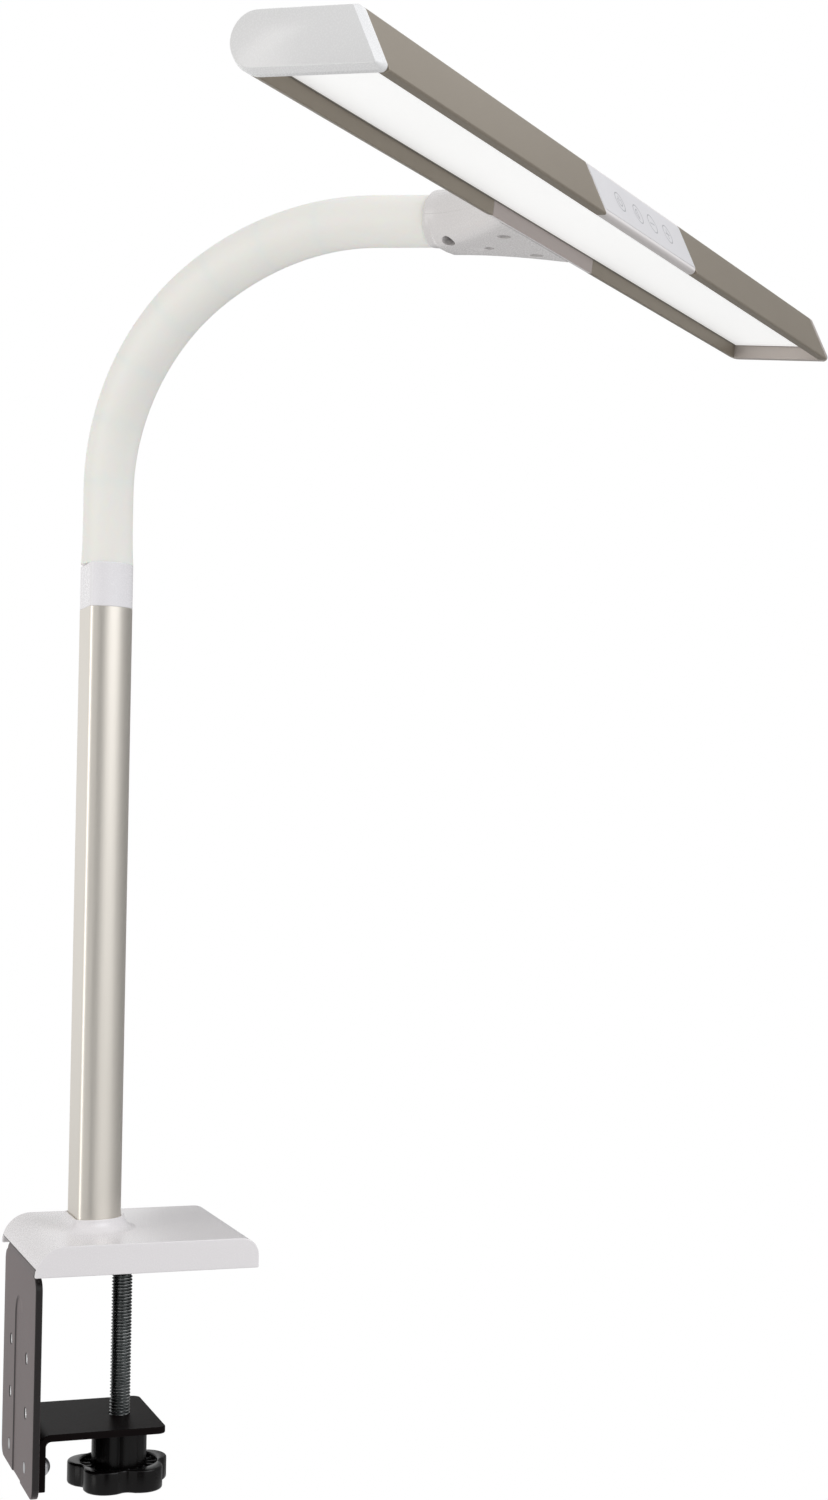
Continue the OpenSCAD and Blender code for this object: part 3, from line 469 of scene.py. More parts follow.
def oiled_thread():
    """Dark oiled steel, bright where the distance from the screw's axis is near the crest."""
    finish = Finish("oiled_thread", {"Metallic": 1.0})
    centred = finish.node("ShaderNodeVectorMath", {"operation": "MULTIPLY_ADD"},
                          {0: finish.place, 1: (1, 1, 0), 2: (-screw_axis[0], -screw_axis[1], 0)})
    reach = finish.node("ShaderNodeVectorMath", {"operation": "LENGTH"}, {0: centred}, "Value")
    crest = finish.ramp(reach, crest_low, crest_high)
    wear = crest * finish.ramp(finish.noise(3 * mm, 3), 0.2, 0.7)
    tone = finish.blend(wear, rgb(84, 88, 88), rgb(196, 198, 198))
    finish.feed(finish.shader, {"Base Color": tone, "Roughness": 0.42 - wear * 0.14})
    finish.bump(finish.noise(0.5 * mm, 2), 0.02 * mm)
    return finish.material


screw_low, screw_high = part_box("clamp_screw")
rod_radius = (screw_high[0] - screw_low[0]) / 2
rod = threaded_rod(screw_low[2], screw_high[2], rod_radius)
clamp_screw = piece_from("clamp_screw_thread", *lidded(rod), oiled_thread(), sharp_angle=50)
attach(clamp_screw, "clamp_screw")
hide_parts("clamp_screw")

# Star knob: moulded black plastic with five lobes and a tall hub that is pressed on the screw. A moat with
# thin ribs parts the hub from the rim, and every edge has a small round.
knob_low, knob_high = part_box("star_knob")
knob_bottom = knob_low[2]
hub_top = knob_high[2]
rim_top = knob_bottom + 10.5 * mm
lobe_count = 5
lobe_radius = 10 * mm
lobe_distance = 14 * mm
waist_radius = 21 * mm
valley_radius = 7 * mm
valley_distance = 26 * mm
knob_turn = math.radians(16.75)
hub_radius = 12.8 * mm
moat_radius = 17.8 * mm
moat_floor = rim_top - 4 * mm
rim_round = 1.1 * mm
small_round = 0.7 * mm
outline_softness = 0.35 * mm
rib_count = 18
rib_height = 2.2 * mm
rib_slope = 6
rib_cut = 0.7
underside_radius = 4 * mm
bore_radius = 5.2 * mm


def knob_outline(angle):
    """Distance from the axis: the lobes' circles, or the waist where a valley's circle doesn't cut it."""
    step = 2 * np.pi / lobe_count
    off_lobe = (angle - knob_turn + step / 2) % step - step / 2
    off_valley = step / 2 - np.abs(off_lobe)
    inside = np.clip(lobe_radius ** 2 - (lobe_distance * np.sin(off_lobe)) ** 2, 0, None)
    lobe = lobe_distance * np.cos(off_lobe) + np.sqrt(inside)
    notch = np.clip(valley_radius ** 2 - (valley_distance * np.sin(off_valley)) ** 2, 0, None)
    valley = np.where(notch > 0, valley_distance * np.cos(off_valley) - np.sqrt(notch), waist_radius)
    web = np.minimum(waist_radius, valley)
    return outline_softness * np.logaddexp(lobe / outline_softness, web / outline_softness)


def star_knob_surface(columns=300):
    """Rings of (radius, height) from the underside's middle out, up the lobed wall, across the rim into the
    moat, and up the hub to its bore. Each edge is a quarter round of five rings."""
    angle = np.linspace(0, 2 * np.pi, columns, endpoint=False)
    outline = knob_outline(angle)
    flat = np.ones(columns)
    rib = np.clip(rib_slope * (np.cos(rib_count * angle) - rib_cut), 0, 1) * rib_height
    quarter = np.radians([0, 22, 45, 68, 90])

    def onto_wall(wall, level, across, up):
        """A quarter round from a flat level to a wall, by its signed sizes across and up."""
        return [(wall + across * (1 - math.sin(a)), level + up * (1 - math.cos(a))) for a in quarter]

    def off_wall(wall, level, across, up):
        """A quarter round from a wall to a flat level."""
        return [(wall + across * (1 - math.cos(a)), level + up * (1 - math.sin(a))) for a in quarter]

    rings = [(flat * underside_radius, flat * knob_bottom)]
    rings += onto_wall(outline, flat * knob_bottom, -rim_round, rim_round)
    rings += off_wall(outline, flat * rim_top, -rim_round, -rim_round)
    rings += onto_wall(flat * moat_radius, flat * rim_top, small_round, -small_round)
    rings += off_wall(flat * moat_radius, moat_floor + rib, -small_round, small_round)
    rings += onto_wall(flat * hub_radius, moat_floor + rib, small_round, small_round)
    rings += off_wall(flat * hub_radius, flat * hub_top, -small_round, -small_round)
    rings += [(flat * bore_radius, flat * hub_top)]
    radius = np.array([ring[0] for ring in rings])
    height = np.array([ring[1] for ring in rings])
    around = np.stack([np.cos(angle), np.sin(angle)], -1)
    flat_place = screw_axis[:2] + radius[:, :, None] * around[None, :, :]
    return np.concatenate([flat_place, height[:, :, None]], -1)


def black_moulding():
    """Satin black moulded plastic with a fine spark-eroded grain."""
    finish = Finish("black_moulding", {"Specular IOR Level": 0.18})
    cloud = finish.noise(12 * mm, 3)
    grain = finish.noise(0.4 * mm, 2)
    tone = finish.blend(cloud, rgb(5, 4, 4), rgb(10, 8, 8))
    finish.feed(finish.shader, {"Base Color": tone, "Roughness": 0.2 + grain * 0.1})
    finish.bump(grain, 0.02 * mm)
    return finish.material


black_plastic = black_moulding()
star_knob = piece_from("star_knob_moulding", *lidded(star_knob_surface()), black_plastic, sharp_angle=35)
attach(star_knob, "clamp_screw")
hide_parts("star_knob")

# Cover: a glossy white moulding that hides the flange, with a flared collar round the pole. It is screwed on
# from below, and the supply's socket sits in its far end wall.


def white_moulding(name, dark, light):
    """Glossy white plastic: a fine grain, slow ripples of the moulding and a slightly warm tone."""
    finish = Finish(name, {"Specular IOR Level": 0.5})
    cloud = finish.noise(50 * mm, 2)
    grain = finish.noise(0.5 * mm, 2)
    tone = finish.blend(cloud, dark, light)
    finish.feed(finish.shader, {"Base Color": tone, "Roughness": 0.22 + grain * 0.1})
    finish.bump(grain + finish.noise(20 * mm, 1) * 4, 0.01 * mm)
    return finish.material


white_plastic = white_moulding("white_moulding", rgb(231, 228, 229), rgb(235, 232, 233))
softened("base_cover", 0.6 * mm, white_plastic, segments=4)
dress(black_plastic, "dc_inlet")

# Pole: an extruded aluminium tube of D section, anodised champagne, with the die's faint lines along it. A
# block in its foot takes the bolts, and a white ferrule closes its top.


def anodised(name, dark, light, roughness, line_stretch):
    """Anodised aluminium: fine lines along the extrusion, and a tone that wanders a little."""
    finish = Finish(name, {"Metallic": 1.0})
    lines = finish.noise(0.6 * mm, 3, line_stretch)
    cloud = finish.noise(60 * mm, 2)
    grain = finish.noise(0.3 * mm, 2)
    tone = finish.blend(cloud * 0.5 + lines * 0.5, dark, light)
    finish.feed(finish.shader, {"Base Color": tone, "Roughness": roughness + lines * 0.08 + grain * 0.05})
    finish.bump(lines, 0.01 * mm)
    return finish.material


dress(anodised("champagne_anodised", rgb(216, 211, 203), rgb(224, 219, 210), 0.36, (1, 1, 0.01)), "pole")
dress(anodised("plain_aluminium", rgb(186, 186, 188), rgb(204, 204, 206), 0.3, (1, 1, 0.02)),
      "pole_foot", "neck_retainer", "head_spine")
ferrule_plastic = white_moulding("ferrule_moulding", rgb(243, 241, 243), rgb(246, 244, 247))
softened("ferrule", 0.5 * mm, ferrule_plastic)

# Neck: a stiff steel core inside a smooth white silicone sleeve. The sleeve is one tube; it is drawn here in
# eight lengths, each of which bends with one of the core's joints.
ferrule_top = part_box("ferrule")[1][2]
neck_rise = 35 * mm
bend_radii = (109.4 * mm, 143 * mm)
bend_turns = (math.radians(60.5), math.radians(35.7))
neck_run = 24.3 * mm
neck_heading = math.radians(-46.5)
seam = 5.4 * mm
sleeve_thin = 11.6 * mm
sleeve_wall = 4 * mm
foot_flare = 0.7 * mm
foot_reach = 8 * mm
bend_fullness = 1 * mm
end_taper = 0.25 * mm
tuck_depth = 0.7 * mm
tuck_reach = 0.7 * mm
neck_length = neck_rise + bend_radii[0] * bend_turns[0] + bend_radii[1] * bend_turns[1] + neck_run
forward = np.array([math.cos(neck_heading), math.sin(neck_heading), 0])
sideways = np.array([-math.sin(neck_heading), math.cos(neck_heading), 0])
upward = np.array([0, 0, 1])


def neck_path(along):
    """Places and directions at distances along the neck: a rise, two arcs that follow on and a straight
    run."""
    along = np.asarray(along, float)
    first = bend_radii[0] * bend_turns[0]
    second = bend_radii[1] * bend_turns[1]
    on_first = np.clip(along - neck_rise, 0, first) / bend_radii[0]
    on_second = np.clip(along - neck_rise - first, 0, second) / bend_radii[1]
    lean = on_first + on_second
    rise = np.minimum(along, neck_rise)
    run = np.clip(along - neck_rise - first - second, 0, None)
    full = bend_turns[0]
    out = bend_radii[0] * (1 - np.cos(on_first)) + bend_radii[1] * (np.cos(full) - np.cos(full + on_second))
    up = rise + bend_radii[0] * np.sin(on_first) + bend_radii[1] * (np.sin(full + on_second) - np.sin(full))
    out = out + run * np.sin(lean)
    up = up + run * np.cos(lean)
    place = out[:, None] * forward + (ferrule_top + up)[:, None] * upward
    direction = np.sin(lean)[:, None] * forward + np.cos(lean)[:, None] * upward
    return place, direction


def sleeve_radius(along):
    """The sleeve flares at its foot to meet the ferrule, is fullest in the bend, where it is pressed
    together, and is tucked in where it meets the bracket."""
    share = along / neck_length
    foot = foot_flare * np.exp(-along / foot_reach)
    bend = bend_fullness * np.sin(np.pi * np.clip(share, 0, 1)) ** 2
    tuck = tuck_depth * np.exp((along - neck_length - seam) / tuck_reach)
    return sleeve_thin + foot + bend - end_taper * share - tuck


def sleeve_length(start, end, rows=30, columns=72):
    """A tube between two distances along the neck: rings up the outside, closer near the end, and back down
    the inside."""
    share = np.linspace(0, 1, rows)
    along = start + (end - start) * (1 - (1 - share) ** 1.6)
    place, direction = neck_path(along)
    bend_side = np.cross(sideways, direction)
    angle = np.linspace(0, 2 * np.pi, columns, endpoint=False)
    radius = sleeve_radius(along)
    spokes = np.cos(angle)[None, :, None] * bend_side[:, None, :] + np.sin(angle)[None, :, None] * sideways
    outside = place[:, None, :] + radius[:, None, None] * spokes
    inside = place[:, None, :] + (radius - sleeve_wall)[:, None, None] * spokes
    return np.concatenate([outside, inside[::-1]])


def silicone():
    """Warm white silicone: satin, with a trace of dust and light that sinks in a little."""
    finish = Finish("white_silicone", {
        "Specular IOR Level": 0.45,
        "Subsurface Weight": 0.2,
        "Subsurface Scale": 4 * mm,
    })
    cloud = finish.noise(30 * mm, 3)
    grain = finish.noise(0.7 * mm, 2)
    tone = finish.blend(cloud, rgb(250, 248, 241), rgb(252, 250, 244))
    finish.feed(finish.shader, {"Base Color": tone, "Roughness": 0.42 + grain * 0.12})
    finish.bump(grain, 0.015 * mm)
    return finish.material


white_silicone = silicone()
neck_joints = [j for j in frame["joints"] if j["name"].startswith("neck_")]
neck_joints.sort(key=lambda j: (j["child"] == "head", j["child"]))
fine_along = np.linspace(0, neck_length, 2000)
fine_place = neck_path(fine_along)[0]
joint_gaps = [np.linalg.norm(fine_place - np.array(j["pos_m"]), axis=1) for j in neck_joints]
pivots = [fine_along[np.argmin(gap)] for gap in joint_gaps]
cuts = [0.0] + [(a + b) / 2 for a, b in zip(pivots, pivots[1:])] + [neck_length + seam]
unbent_end = 1.5 * mm
for number, (joint, pivot, start, end) in enumerate(zip(neck_joints, pivots, cuts, cuts[1:]), 1):
    tube = sleeve_length(start, end)
    length = piece_from(f"neck_sleeve_length_{number}", tube.reshape(-1, 3),
                        grid_faces(*tube.shape[:2], loop=True), white_silicone, sharp_angle=50)
    reach = min(pivot - start, end - pivot) - unbent_end
    bend_ends = neck_path([pivot - reach, pivot + reach])[0]
    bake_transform(length, joint["parent"], joint["child"], start=tuple(bend_ends[0]), end=tuple(bend_ends[1]))
    covered = ["neck_sleeve_0", "neck_sleeve_1"] if number == 1 else [f"neck_sleeve_{number}"]
    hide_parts(*covered)


def wound_steel():
    """The core's wound steel strip: fine bright turns across a grey ground."""
    finish = Finish("wound_steel", {"Metallic": 1.0})
    turns = finish.noise(1 * mm, 2)
    tone = finish.blend(turns, rgb(150, 150, 152), rgb(190, 190, 192))
    finish.feed(finish.shader, {"Base Color": tone, "Roughness": 0.3 + turns * 0.2})
    finish.bump(turns, 0.05 * mm)
    return finish.material


dress(wound_steel(), *[f"neck_core_{number}" for number in range(9)])

# Bracket: two white mouldings that close round the end of the neck and spread into a flat fan under the
# head's rear edge. Screws from below hold them, and a short screw in the barrel grips the core.
head_origin = neck_path([neck_length])[0][0]
head_x = neck_path([neck_length])[1][0]
head_y = sideways
head_z = np.cross(head_x, head_y)
barrel_draw = 10 * mm
bracket_edge = 0.12 * mm


def short_barrel(places):
    """Draws the barrel's mouth back to where the sleeve ends, and closes up the stretch behind it."""
    reach = (places - head_origin) @ head_x
    return places + (seam * np.clip(1 - reach / barrel_draw, 0, 1))[:, None] * head_x


def black_zinc():
    """Black zinc plate on the small screws, worn to grey in places."""
    finish = Finish("black_zinc", {"Metallic": 0.6})
    wear = finish.noise(1.5 * mm, 2)
    tone = finish.blend(wear, rgb(48, 46, 46), rgb(76, 74, 73))
    finish.feed(finish.shader, {"Base Color": tone, "Roughness": 0.38 + wear * 0.2})
    return finish.material


dress(black_zinc(), "fan_screws")
# Painted shade: the bracket is a slightly darker copy of the white moulding, for the shade it sits in under
# the head.
bracket_plastic_painted_shade = white_moulding("bracket_moulding_painted_shade", rgb(225, 222, 221), rgb(230, 227, 226))
for half in ("bracket_upper", "bracket_lower"):
    softened(half, bracket_edge, bracket_plastic_painted_shade, reshape=short_barrel)

# Head casings: two blasted and anodised aluminium extrusions, in taupe, and a white moulded middle between
# them. A bar under their roofs joins the three, and the underside is a well with the diffuser as its roof.


def blasted_anodised(name, dark, light):
    """Blasted anodising: a fine even grain and slow changes of tone."""
    finish = Finish(name, {"Metallic": 0.45, "Specular IOR Level": 0.4})
    grain = finish.noise(0.4 * mm, 3)
    cloud = finish.noise(50 * mm, 2)
    tone = finish.blend(cloud * 0.6 + grain * 0.4, dark, light)
    finish.feed(finish.shader, {"Base Color": tone, "Roughness": 0.42 + grain * 0.1})
    finish.bump(grain, 0.02 * mm)
    return finish.material


bracket_length = 50.2 * mm
head_half = 11 * mm
head_width = 60.6 * mm
head_slant = 12.4 * mm
edge_radius = 2 * mm
rear_centre = bracket_length + head_half
slant_length = math.hypot(head_slant, 2 * head_half)
slant_normal = np.array([2 * head_half, head_slant]) / slant_length
lip_radius = 0.8 * mm
casing_edge = 0.3 * mm


def at_head(points):
    """Head axes (x along the neck's end, y along the head, z up) to the frame's own."""
    points = np.asarray(points)
    return head_origin + points[..., :1] * head_x + points[..., 1:2] * head_y + points[..., 2:] * head_z


def inside_front(distance, z):
    """The point, in x and z, that lies that far inside the plane of the slanted front, at a height."""
    front = slant_normal @ np.array([bracket_length + head_width, -head_half]) - distance
    return np.array([(front - slant_normal[1] * z) / slant_normal[0], z])


def crisp_lip(places):
    """Draws the round at the foot of the slanted front down to the lip's small radius: each of its points
    keeps its direction from the round's centre."""
    local = (places - head_origin) @ np.stack([head_x, head_y, head_z], -1)
    spoke = local[:, [0, 2]] - inside_front(edge_radius, edge_radius - head_half)
    reach = np.linalg.norm(spoke, axis=1)
    turn = np.arctan2(spoke[:, 1], spoke[:, 0])
    margin = 0.03
    on_round = np.abs(reach - edge_radius) < margin * edge_radius
    on_round &= (turn > -np.pi / 2 - margin) & (turn < math.atan2(slant_normal[1], slant_normal[0]) + margin)
    unit = spoke[on_round] / reach[on_round, None]
    moved = inside_front(lip_radius, lip_radius - head_half) + lip_radius * unit
    local[on_round, 0] = moved[:, 0]
    local[on_round, 2] = moved[:, 1]
    return at_head(local)


taupe = blasted_anodised("taupe_anodised", rgb(135, 126, 113), rgb(143, 134, 121))
for casing in ("left_casing", "right_casing"):
    softened(casing, casing_edge, taupe, reshape=crisp_lip)
well_rear = 60 * mm
well_roof = -4.6 * mm
wall_shade_end = 80 * mm
lip_foot = 106 * mm
lip_rear = 98 * mm
lip_low = -9.8 * mm
lip_high = -9.0 * mm
blur = 0.1 * mm


def middle_moulding():
    """White plastic, with painted shade: the well's rear wall and the lip below the touch panel are coloured
    grey for the shade that falls there.
    """
    finish = Finish("middle_moulding", {"Specular IOR Level": 0.5})
    x = finish.along(head_x, head_origin)
    z = finish.along(head_z, head_origin)
    grain = finish.noise(0.5 * mm, 2)
    # Painted shade: the rear wall of the well under the head and the underside of the lip below the touch
    # panel are coloured grey, darker than the white plastic, for the shade in the recess and under the edge.
    low = 1 - finish.ramp(z, well_roof, well_roof + 2 * blur)
    wall_shade = low * finish.ramp(x, well_rear - 3 * blur, well_rear - blur)
    wall_shade = wall_shade * (1 - finish.ramp(x, wall_shade_end, wall_shade_end + 10 * blur))
    lip = finish.ramp(x, lip_rear, lip_rear + blur) * (1 - finish.ramp(z, lip_low, lip_high))
    tone = finish.blend(finish.noise(50 * mm, 2), rgb(232, 228, 227), rgb(236, 232, 231))
    tone = finish.blend(wall_shade, tone, rgb(172, 162, 158))
    tone = finish.blend(lip, tone, rgb(204, 199, 197))
    finish.feed(finish.shader, {"Base Color": tone, "Roughness": 0.28 + grain * 0.1 + wall_shade * 0.2})
    finish.bump(grain, 0.01 * mm)
    return finish.material


softened("middle_casing", casing_edge, middle_moulding())

# End caps: plates of the head's own section, plugged into the casings. The left one is moulded in white,
# with a sloped outer edge, and the right one is finished like its casing.
head_left = -242 * mm
head_right = 250 * mm
cap_thickness = 5 * mm
cap_overlap = 0.1 * mm
left_reach = 1.5 * mm
left_slope = (1.3 * mm, 3.4 * mm)
right_slope = (0.5 * mm, 0.5 * mm)


def section_ring(inset):
    """The head's outline in x and z, drawn in by inset: a round rear, a flat underside, the slanted front
    with its two small corner rounds, and the flat top."""
    half = head_half - inset
    corner = max(edge_radius - inset, 0.25 * mm)
    low_centre = inside_front(inset + corner, corner - half)
    high_centre = inside_front(inset + corner, half - corner)
    rear_angle = np.radians(np.linspace(90, 270, 41))
    slant_angle = math.atan2(slant_normal[1], slant_normal[0])
    low_angle = np.linspace(-np.pi / 2, slant_angle, 9)
    high_angle = np.linspace(slant_angle, np.pi / 2, 9)
    parts = [
        np.array([rear_centre, 0]) + half * np.stack([np.cos(rear_angle), np.sin(rear_angle)], -1),
        low_centre + corner * np.stack([np.cos(low_angle), np.sin(low_angle)], -1),
        high_centre + corner * np.stack([np.cos(high_angle), np.sin(high_angle)], -1),
    ]
    return np.concatenate(parts)


def end_cap_surface(inner, outer, slope_inset, slope_length):
    """Section rings from the casing's end out to the face: straight, then a slope with a small round at
    either end, given as shares of its inset and its length."""
    side = 1 if outer > inner else -1
    shares = [(0, 1.06), (0.01, 0.99), (0.07, 0.9), (0.9, 0.12), (0.98, 0.03), (1.1, 0)]
    steps = [(0.0, inner)]
    steps += [(slope_inset * across, outer - side * slope_length * along) for across, along in shares]
    rings = []
    for inset, along in steps:
        outline = section_ring(inset)
        rings.append(np.stack([outline[:, 0], np.full(len(outline), along), outline[:, 1]], -1))
    return at_head(np.array(rings))


cap_plastic = white_moulding("cap_moulding", rgb(233, 233, 233), rgb(237, 237, 237))
cap_taupe = blasted_anodised("light_taupe", rgb(182, 174, 168), rgb(190, 182, 176))
left_faces = (head_left + cap_thickness - cap_overlap, head_left - left_reach)
right_faces = (head_right - cap_thickness + cap_overlap, head_right)
for node, faces, slope, material, slot in (
    ("left_end_cap", left_faces, left_slope, cap_plastic, "white_plastic"),
    ("right_end_cap", right_faces, right_slope, cap_taupe, "taupe_aluminium"),
):
    cap = piece_from(node + "_moulding", *lidded(end_cap_surface(*faces, *slope)), material, sharp_angle=35)
    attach(cap, "head")
    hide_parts(node)

# Lamp board and diffuser: a row of lamps on a white board under the bar shines down through an opal sheet,
# which lies on the casings' ledges as the roof of the well.
well_front = lip_foot - (head_half + well_roof) * head_slant / (2 * head_half)
shadow_gap_width = 0.5 * mm


def opal_sheet():
    """Opal plastic that glows evenly, with a painted shadow: a thin dark line along its edges where it meets
    the well's walls, for the shade in the gap there.
    """
    finish = Finish("opal_sheet", {"Emission Strength": 0.4, "Roughness": 0.5, "Specular IOR Level": 0.3})
    cloud = finish.noise(80 * mm, 2)
    x = finish.along(head_x, head_origin)
    y = finish.along(head_y, head_origin)
    # Painted shadow: the colour and the glow darken within a millimetre of the well's walls and end caps, for
    # the shade in the gap between the sheet and the walls.
    border = (x - well_rear).least(well_front - x)
    border = border.least(y - (head_left + cap_thickness)).least(head_right - cap_thickness - y)
    unshaded_share = finish.ramp(border, shadow_gap_width, 2 * shadow_gap_width)
    tone = finish.blend(cloud, rgb(240, 240, 239), rgb(244, 244, 243))
    tone = finish.blend(unshaded_share, rgb(112, 106, 102), tone)
    finish.feed(finish.shader, {"Base Color": tone, "Emission Color": tone})
    finish.bump(finish.noise(0.5 * mm, 2), 0.01 * mm)
    return finish.material


def board_finish(name, dark, light):
    """Solder mask over a circuit board, with the tracks showing as a faint change of tone."""
    finish = Finish(name, {"Specular IOR Level": 0.5})
    tracks = finish.ramp(finish.noise(6 * mm, 1), 0.45, 0.5)
    tone = finish.blend(tracks, dark, light)
    finish.feed(finish.shader, {"Base Color": tone, "Roughness": 0.3 + tracks * 0.1})
    return finish.material


def phosphor():
    """Yellow phosphor under a clear lens."""
    finish = Finish("phosphor", {"Coat Weight": 0.6, "Roughness": 0.4})
    cloud = finish.noise(2 * mm, 2)
    finish.feed(finish.shader, {"Base Color": finish.blend(cloud, rgb(236, 206, 96), rgb(244, 222, 130))})
    return finish.material


dress(opal_sheet(), "diffuser")
dress(board_finish("white_board", rgb(226, 226, 222), rgb(236, 236, 232)), "lamp_board")
dress(board_finish("green_board", rgb(40, 110, 66), rgb(60, 140, 84)), "touch_board")
dress(phosphor(), "lamps")

# Touch panel: a smooth white strip let into the slanted front of the middle casing. Four plain grey signs
# are printed on it, for on and off, tone of light, dimmer and brighter.


def touch_plate():
    """Smooth semi-gloss white plastic, a little cooler than the casing."""
    finish = Finish("touch_plate", {"Specular IOR Level": 0.5})
    cloud = finish.noise(30 * mm, 2)
    tone = finish.blend(cloud, rgb(220, 219, 221), rgb(225, 224, 226))
    finish.feed(finish.shader, {"Base Color": tone, "Roughness": 0.3 + cloud * 0.06})
    finish.bump(finish.noise(0.6 * mm, 2), 0.005 * mm)
    return finish.material


def printed_grey():
    """Thin grey printing ink, slightly uneven."""
    finish = Finish("grey_ink", {"Specular IOR Level": 0.3})
    cover = finish.noise(0.8 * mm, 2)
    tone = finish.blend(cover, rgb(166, 165, 168), rgb(182, 181, 184))
    finish.feed(finish.shader, {"Base Color": tone, "Roughness": 0.5 + cover * 0.1})
    return finish.material


panel_white = touch_plate()
dress(panel_white, "touch_panel")
panel_middle = bracket_length + head_width - head_slant / 2
film_low = -9.4 * mm
film_high = 11.0 * mm
film_half = 51.8 * mm
film_thickness = 0.2 * mm
film_sink = 0.05 * mm
sign_places = (-26.5 * mm, -6.5 * mm, 10 * mm, 28 * mm)
sign_radius = 4.3 * mm
sign_lift = 1 * mm
stem = (1.4 * mm, 3.9 * mm)
ink_width = 0.55 * mm
ink_thickness = 0.03 * mm


def on_front(along, up, out):
    """Places on the slanted front: along the head, up the slope and out from it."""
    x = panel_middle - slant_normal[1] * up + slant_normal[0] * out
    z = slant_normal[0] * up + slant_normal[1] * out
    return at_head(np.stack([x, along, z], -1))


def film_sheet():
    """A four-cornered prism: the film's outline at its underside, inside the panel, and at its face."""
    along = np.array([-film_half, film_half, film_half, -film_half])
    up = np.array([film_low, film_low, film_high, film_high])
    return np.stack([on_front(along, up, np.full(4, level)) for level in (-film_sink, film_thickness)])


touch_film = piece_from("touch_film", *lidded(film_sheet()), panel_white)
film_edge = touch_film.modifiers.new("edges", "BEVEL")
film_edge.width = 0.12 * mm
film_edge.segments = 2
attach(touch_film, "head")


def ink_strip(path):
    """A flat strip of ink along a path of (along the head, up the front) points: a box section carried along
    it, and lying on the panel's face."""
    path = np.asarray(path, float)
    heading = np.gradient(path, axis=0)
    heading /= np.linalg.norm(heading, axis=1, keepdims=True)
    across = np.stack([-heading[:, 1], heading[:, 0]], -1) * ink_width / 2
    rings = []
    for side, lift in ((-1, 0), (1, 0), (1, 1), (-1, 1)):
        flat = path + side * across
        level = np.full(len(path), film_thickness + lift * ink_thickness)
        rings.append(on_front(flat[:, 0], flat[:, 1], level))
    return np.stack(rings, 1)


def arc(centre, radius, start, stop, steps=28):
    """Points of a circle's arc, in degrees."""
    angle = np.radians(np.linspace(start, stop, steps))
    return np.stack([centre + radius * np.cos(angle), sign_lift + radius * np.sin(angle)], -1)


def bar(centre, dx, dy):
    """Points of a straight stroke through a sign's middle."""
    share = np.linspace(-1, 1, 4)
    return np.stack([centre + dx * share, sign_lift + dy * share], -1)


on_off, tone_sign, dimmer, brighter = sign_places
strokes = [
    arc(on_off, sign_radius, 0, 360),
    arc(on_off, sign_radius * 0.45, 130, 410),
    np.stack([np.full(4, on_off), np.linspace(*stem, 4)], -1),
    arc(tone_sign, sign_radius, 0, 360),
    bar(tone_sign, 0, sign_radius * 0.6),
    arc(tone_sign, sign_radius * 0.5, 90, 270),
    arc(dimmer, sign_radius, 0, 360),
    bar(dimmer, sign_radius * 0.55, 0),
    arc(brighter, sign_radius, 0, 360),
    bar(brighter, sign_radius * 0.55, 0),
    bar(brighter, 0, sign_radius * 0.55),
]
ink = printed_grey()
for number, stroke in enumerate(strokes, 1):
    sign = piece_from(f"touch_sign_stroke_{number}", *lidded(ink_strip(stroke)), ink)
    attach(sign, "head")

# Floor and light: a pale floor well below the clamp, a white room, a large soft lamp at the right and front,
# and a weaker one at the left. Cards that only reflections see give the metal its darker bands.
floor_level = -0.75
floor_half = 6.0
floor_gloss = 0.45
room_light = 0.51


def seen_by(nodes, ray):
    """1 for that kind of ray and 0 for the others."""
    return nodes.node("ShaderNodeLightPath", {}, {}, f"Is {ray} Ray")


def pale_paper():
    """Matt white paper with a faint mottle. The camera sees it as plain white, and reflections nearly so."""
    finish = Finish("pale_paper", {"Roughness": 0.9})
    cloud = finish.noise(400 * mm, 2)
    tone = finish.blend(cloud, rgb(243, 243, 243), rgb(247, 247, 247))
    finish.feed(finish.shader, {"Base Color": tone})
    plain = seen_by(finish, "Camera") + seen_by(finish, "Transmission")
    plain = plain + seen_by(finish, "Glossy") * floor_gloss
    glow = finish.node("ShaderNodeEmission", {}, {})
    lit = Wire(finish, finish.shader.outputs[0])
    mixed = finish.node("ShaderNodeMixShader", {}, {0: plain, 1: lit, 2: glow})
    finish.feed(finish.tree.nodes["Material Output"], {"Surface": mixed})
    return finish.material


def stage_sheet(name, corners, material):
    """A flat four-cornered sheet of the stage."""
    mesh = bpy.data.meshes.new(name)
    mesh.from_pydata(corners, [], [(0, 1, 2, 3)])
    mesh.materials.append(material)
    sheet = link_piece(name, mesh)
    return sheet


floor_corners = ((-1, -1), (1, -1), (1, 1), (-1, 1))
stage_sheet("floor", [(floor_half * x, floor_half * y, floor_level) for x, y in floor_corners], pale_paper())


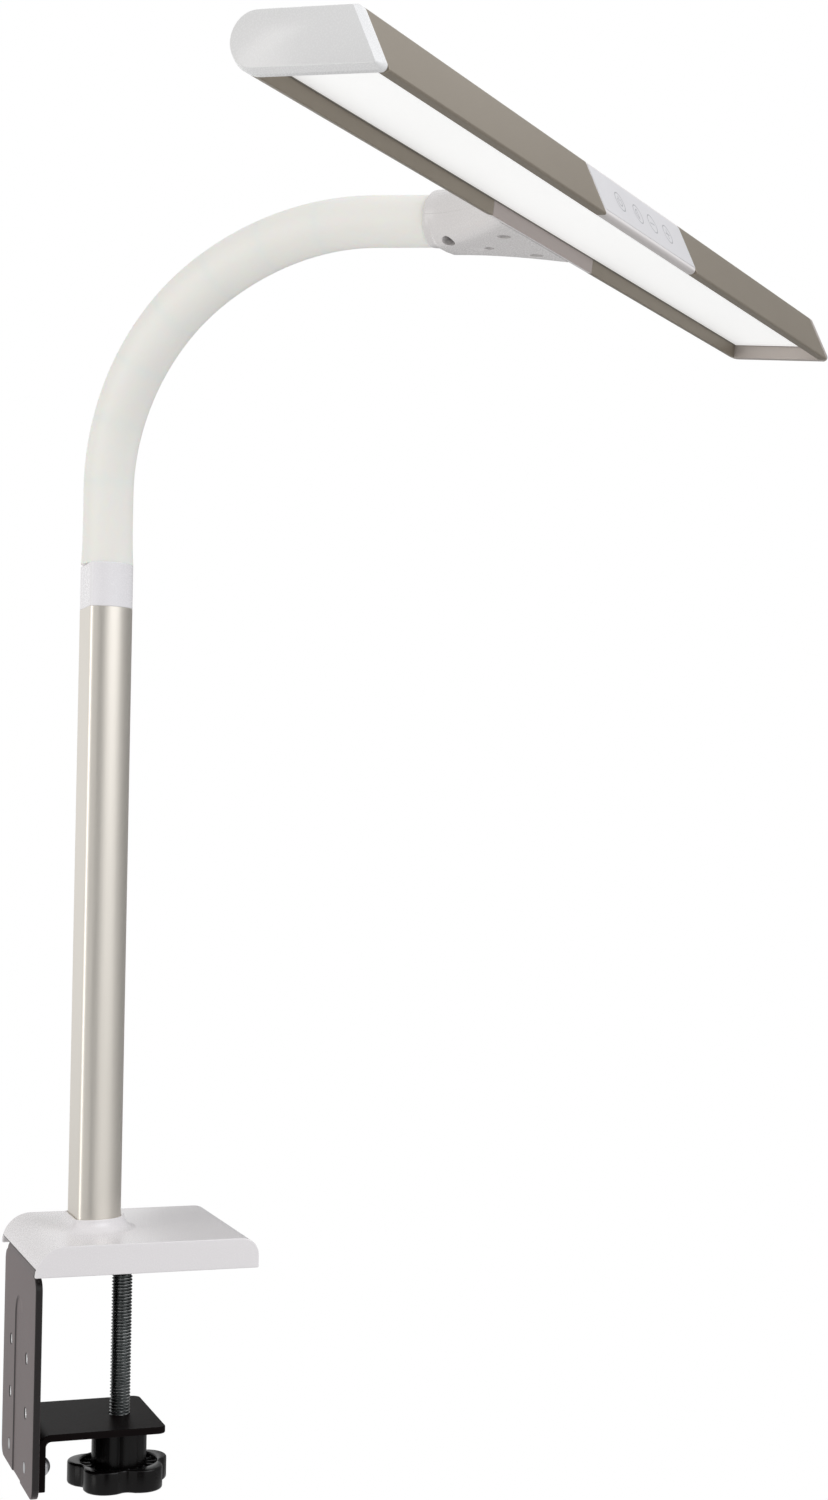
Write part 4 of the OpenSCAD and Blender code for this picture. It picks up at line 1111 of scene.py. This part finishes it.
def card(name, azimuth, half_turn, distance, grey, low=-0.5, high=1.2):
    """An upright card round the pole at that azimuth, which only reflections see."""
    finish = Finish(name, {"Roughness": 1.0, "Specular IOR Level": 0.0})
    cloud = finish.noise(300 * mm, 1)
    tone = finish.blend(cloud, rgb(grey, grey, grey), rgb(grey + 4, grey + 4, grey + 4))
    finish.feed(finish.shader, {"Base Color": tone})
    turns = [math.radians(azimuth + side * half_turn) for side in (-1, 1)]
    first, last = [(distance * math.cos(a), distance * math.sin(a)) for a in turns]
    sheet = stage_sheet(name, [(*first, low), (*last, low), (*last, high), (*first, high)], finish.material)
    sheet.visible_camera = False
    sheet.visible_diffuse = False
    sheet.visible_shadow = False
    sheet.visible_transmission = False


card("dark_card", azimuth=265, half_turn=12, distance=1.7, grey=60)
card("side_card", azimuth=350, half_turn=14, distance=1.6, grey=220)
card("grey_card", azimuth=40, half_turn=36, distance=1.5, grey=172)
lamp_middle = Vector((0.05, -0.05, 0.2))


def soft_lamp(name, place, width, height, watts, tint):
    """A rectangular area lamp that looks at the middle of the object."""
    data = bpy.data.lights.new(name, "AREA")
    data.shape = "RECTANGLE"
    data.size = width
    data.size_y = height
    data.energy = watts
    data.color = tint
    lamp = bpy.data.objects.new(name, data)
    lamp.location = place
    lamp.rotation_euler = (lamp_middle - Vector(place)).to_track_quat("-Z", "Y").to_euler()
    bpy.context.scene.collection.objects.link(lamp)


soft_lamp("key_lamp", (1.3, -1.5, 1.5), width=1.6, height=1.6, watts=26, tint=(0.96, 0.97, 1.0))
soft_lamp("side_lamp", (-1.6, -0.45, 0.35), width=0.6, height=1.9, watts=8.5, tint=(1.0, 0.98, 0.96))

room = bpy.data.worlds.new("white_room")
room.use_nodes = True
bpy.context.scene.world = room
room_nodes = Nodes(room.node_tree)
white_rays = seen_by(room_nodes, "Camera").most(seen_by(room_nodes, "Glossy"))
white_rays = white_rays.most(seen_by(room_nodes, "Transmission"))
strength = room_light + white_rays * (1 - room_light)
room_nodes.feed(room.node_tree.nodes["Background"], {"Color": (1, 1, 1, 1), "Strength": strength})
bpy.context.scene.view_settings.view_transform = "Standard"
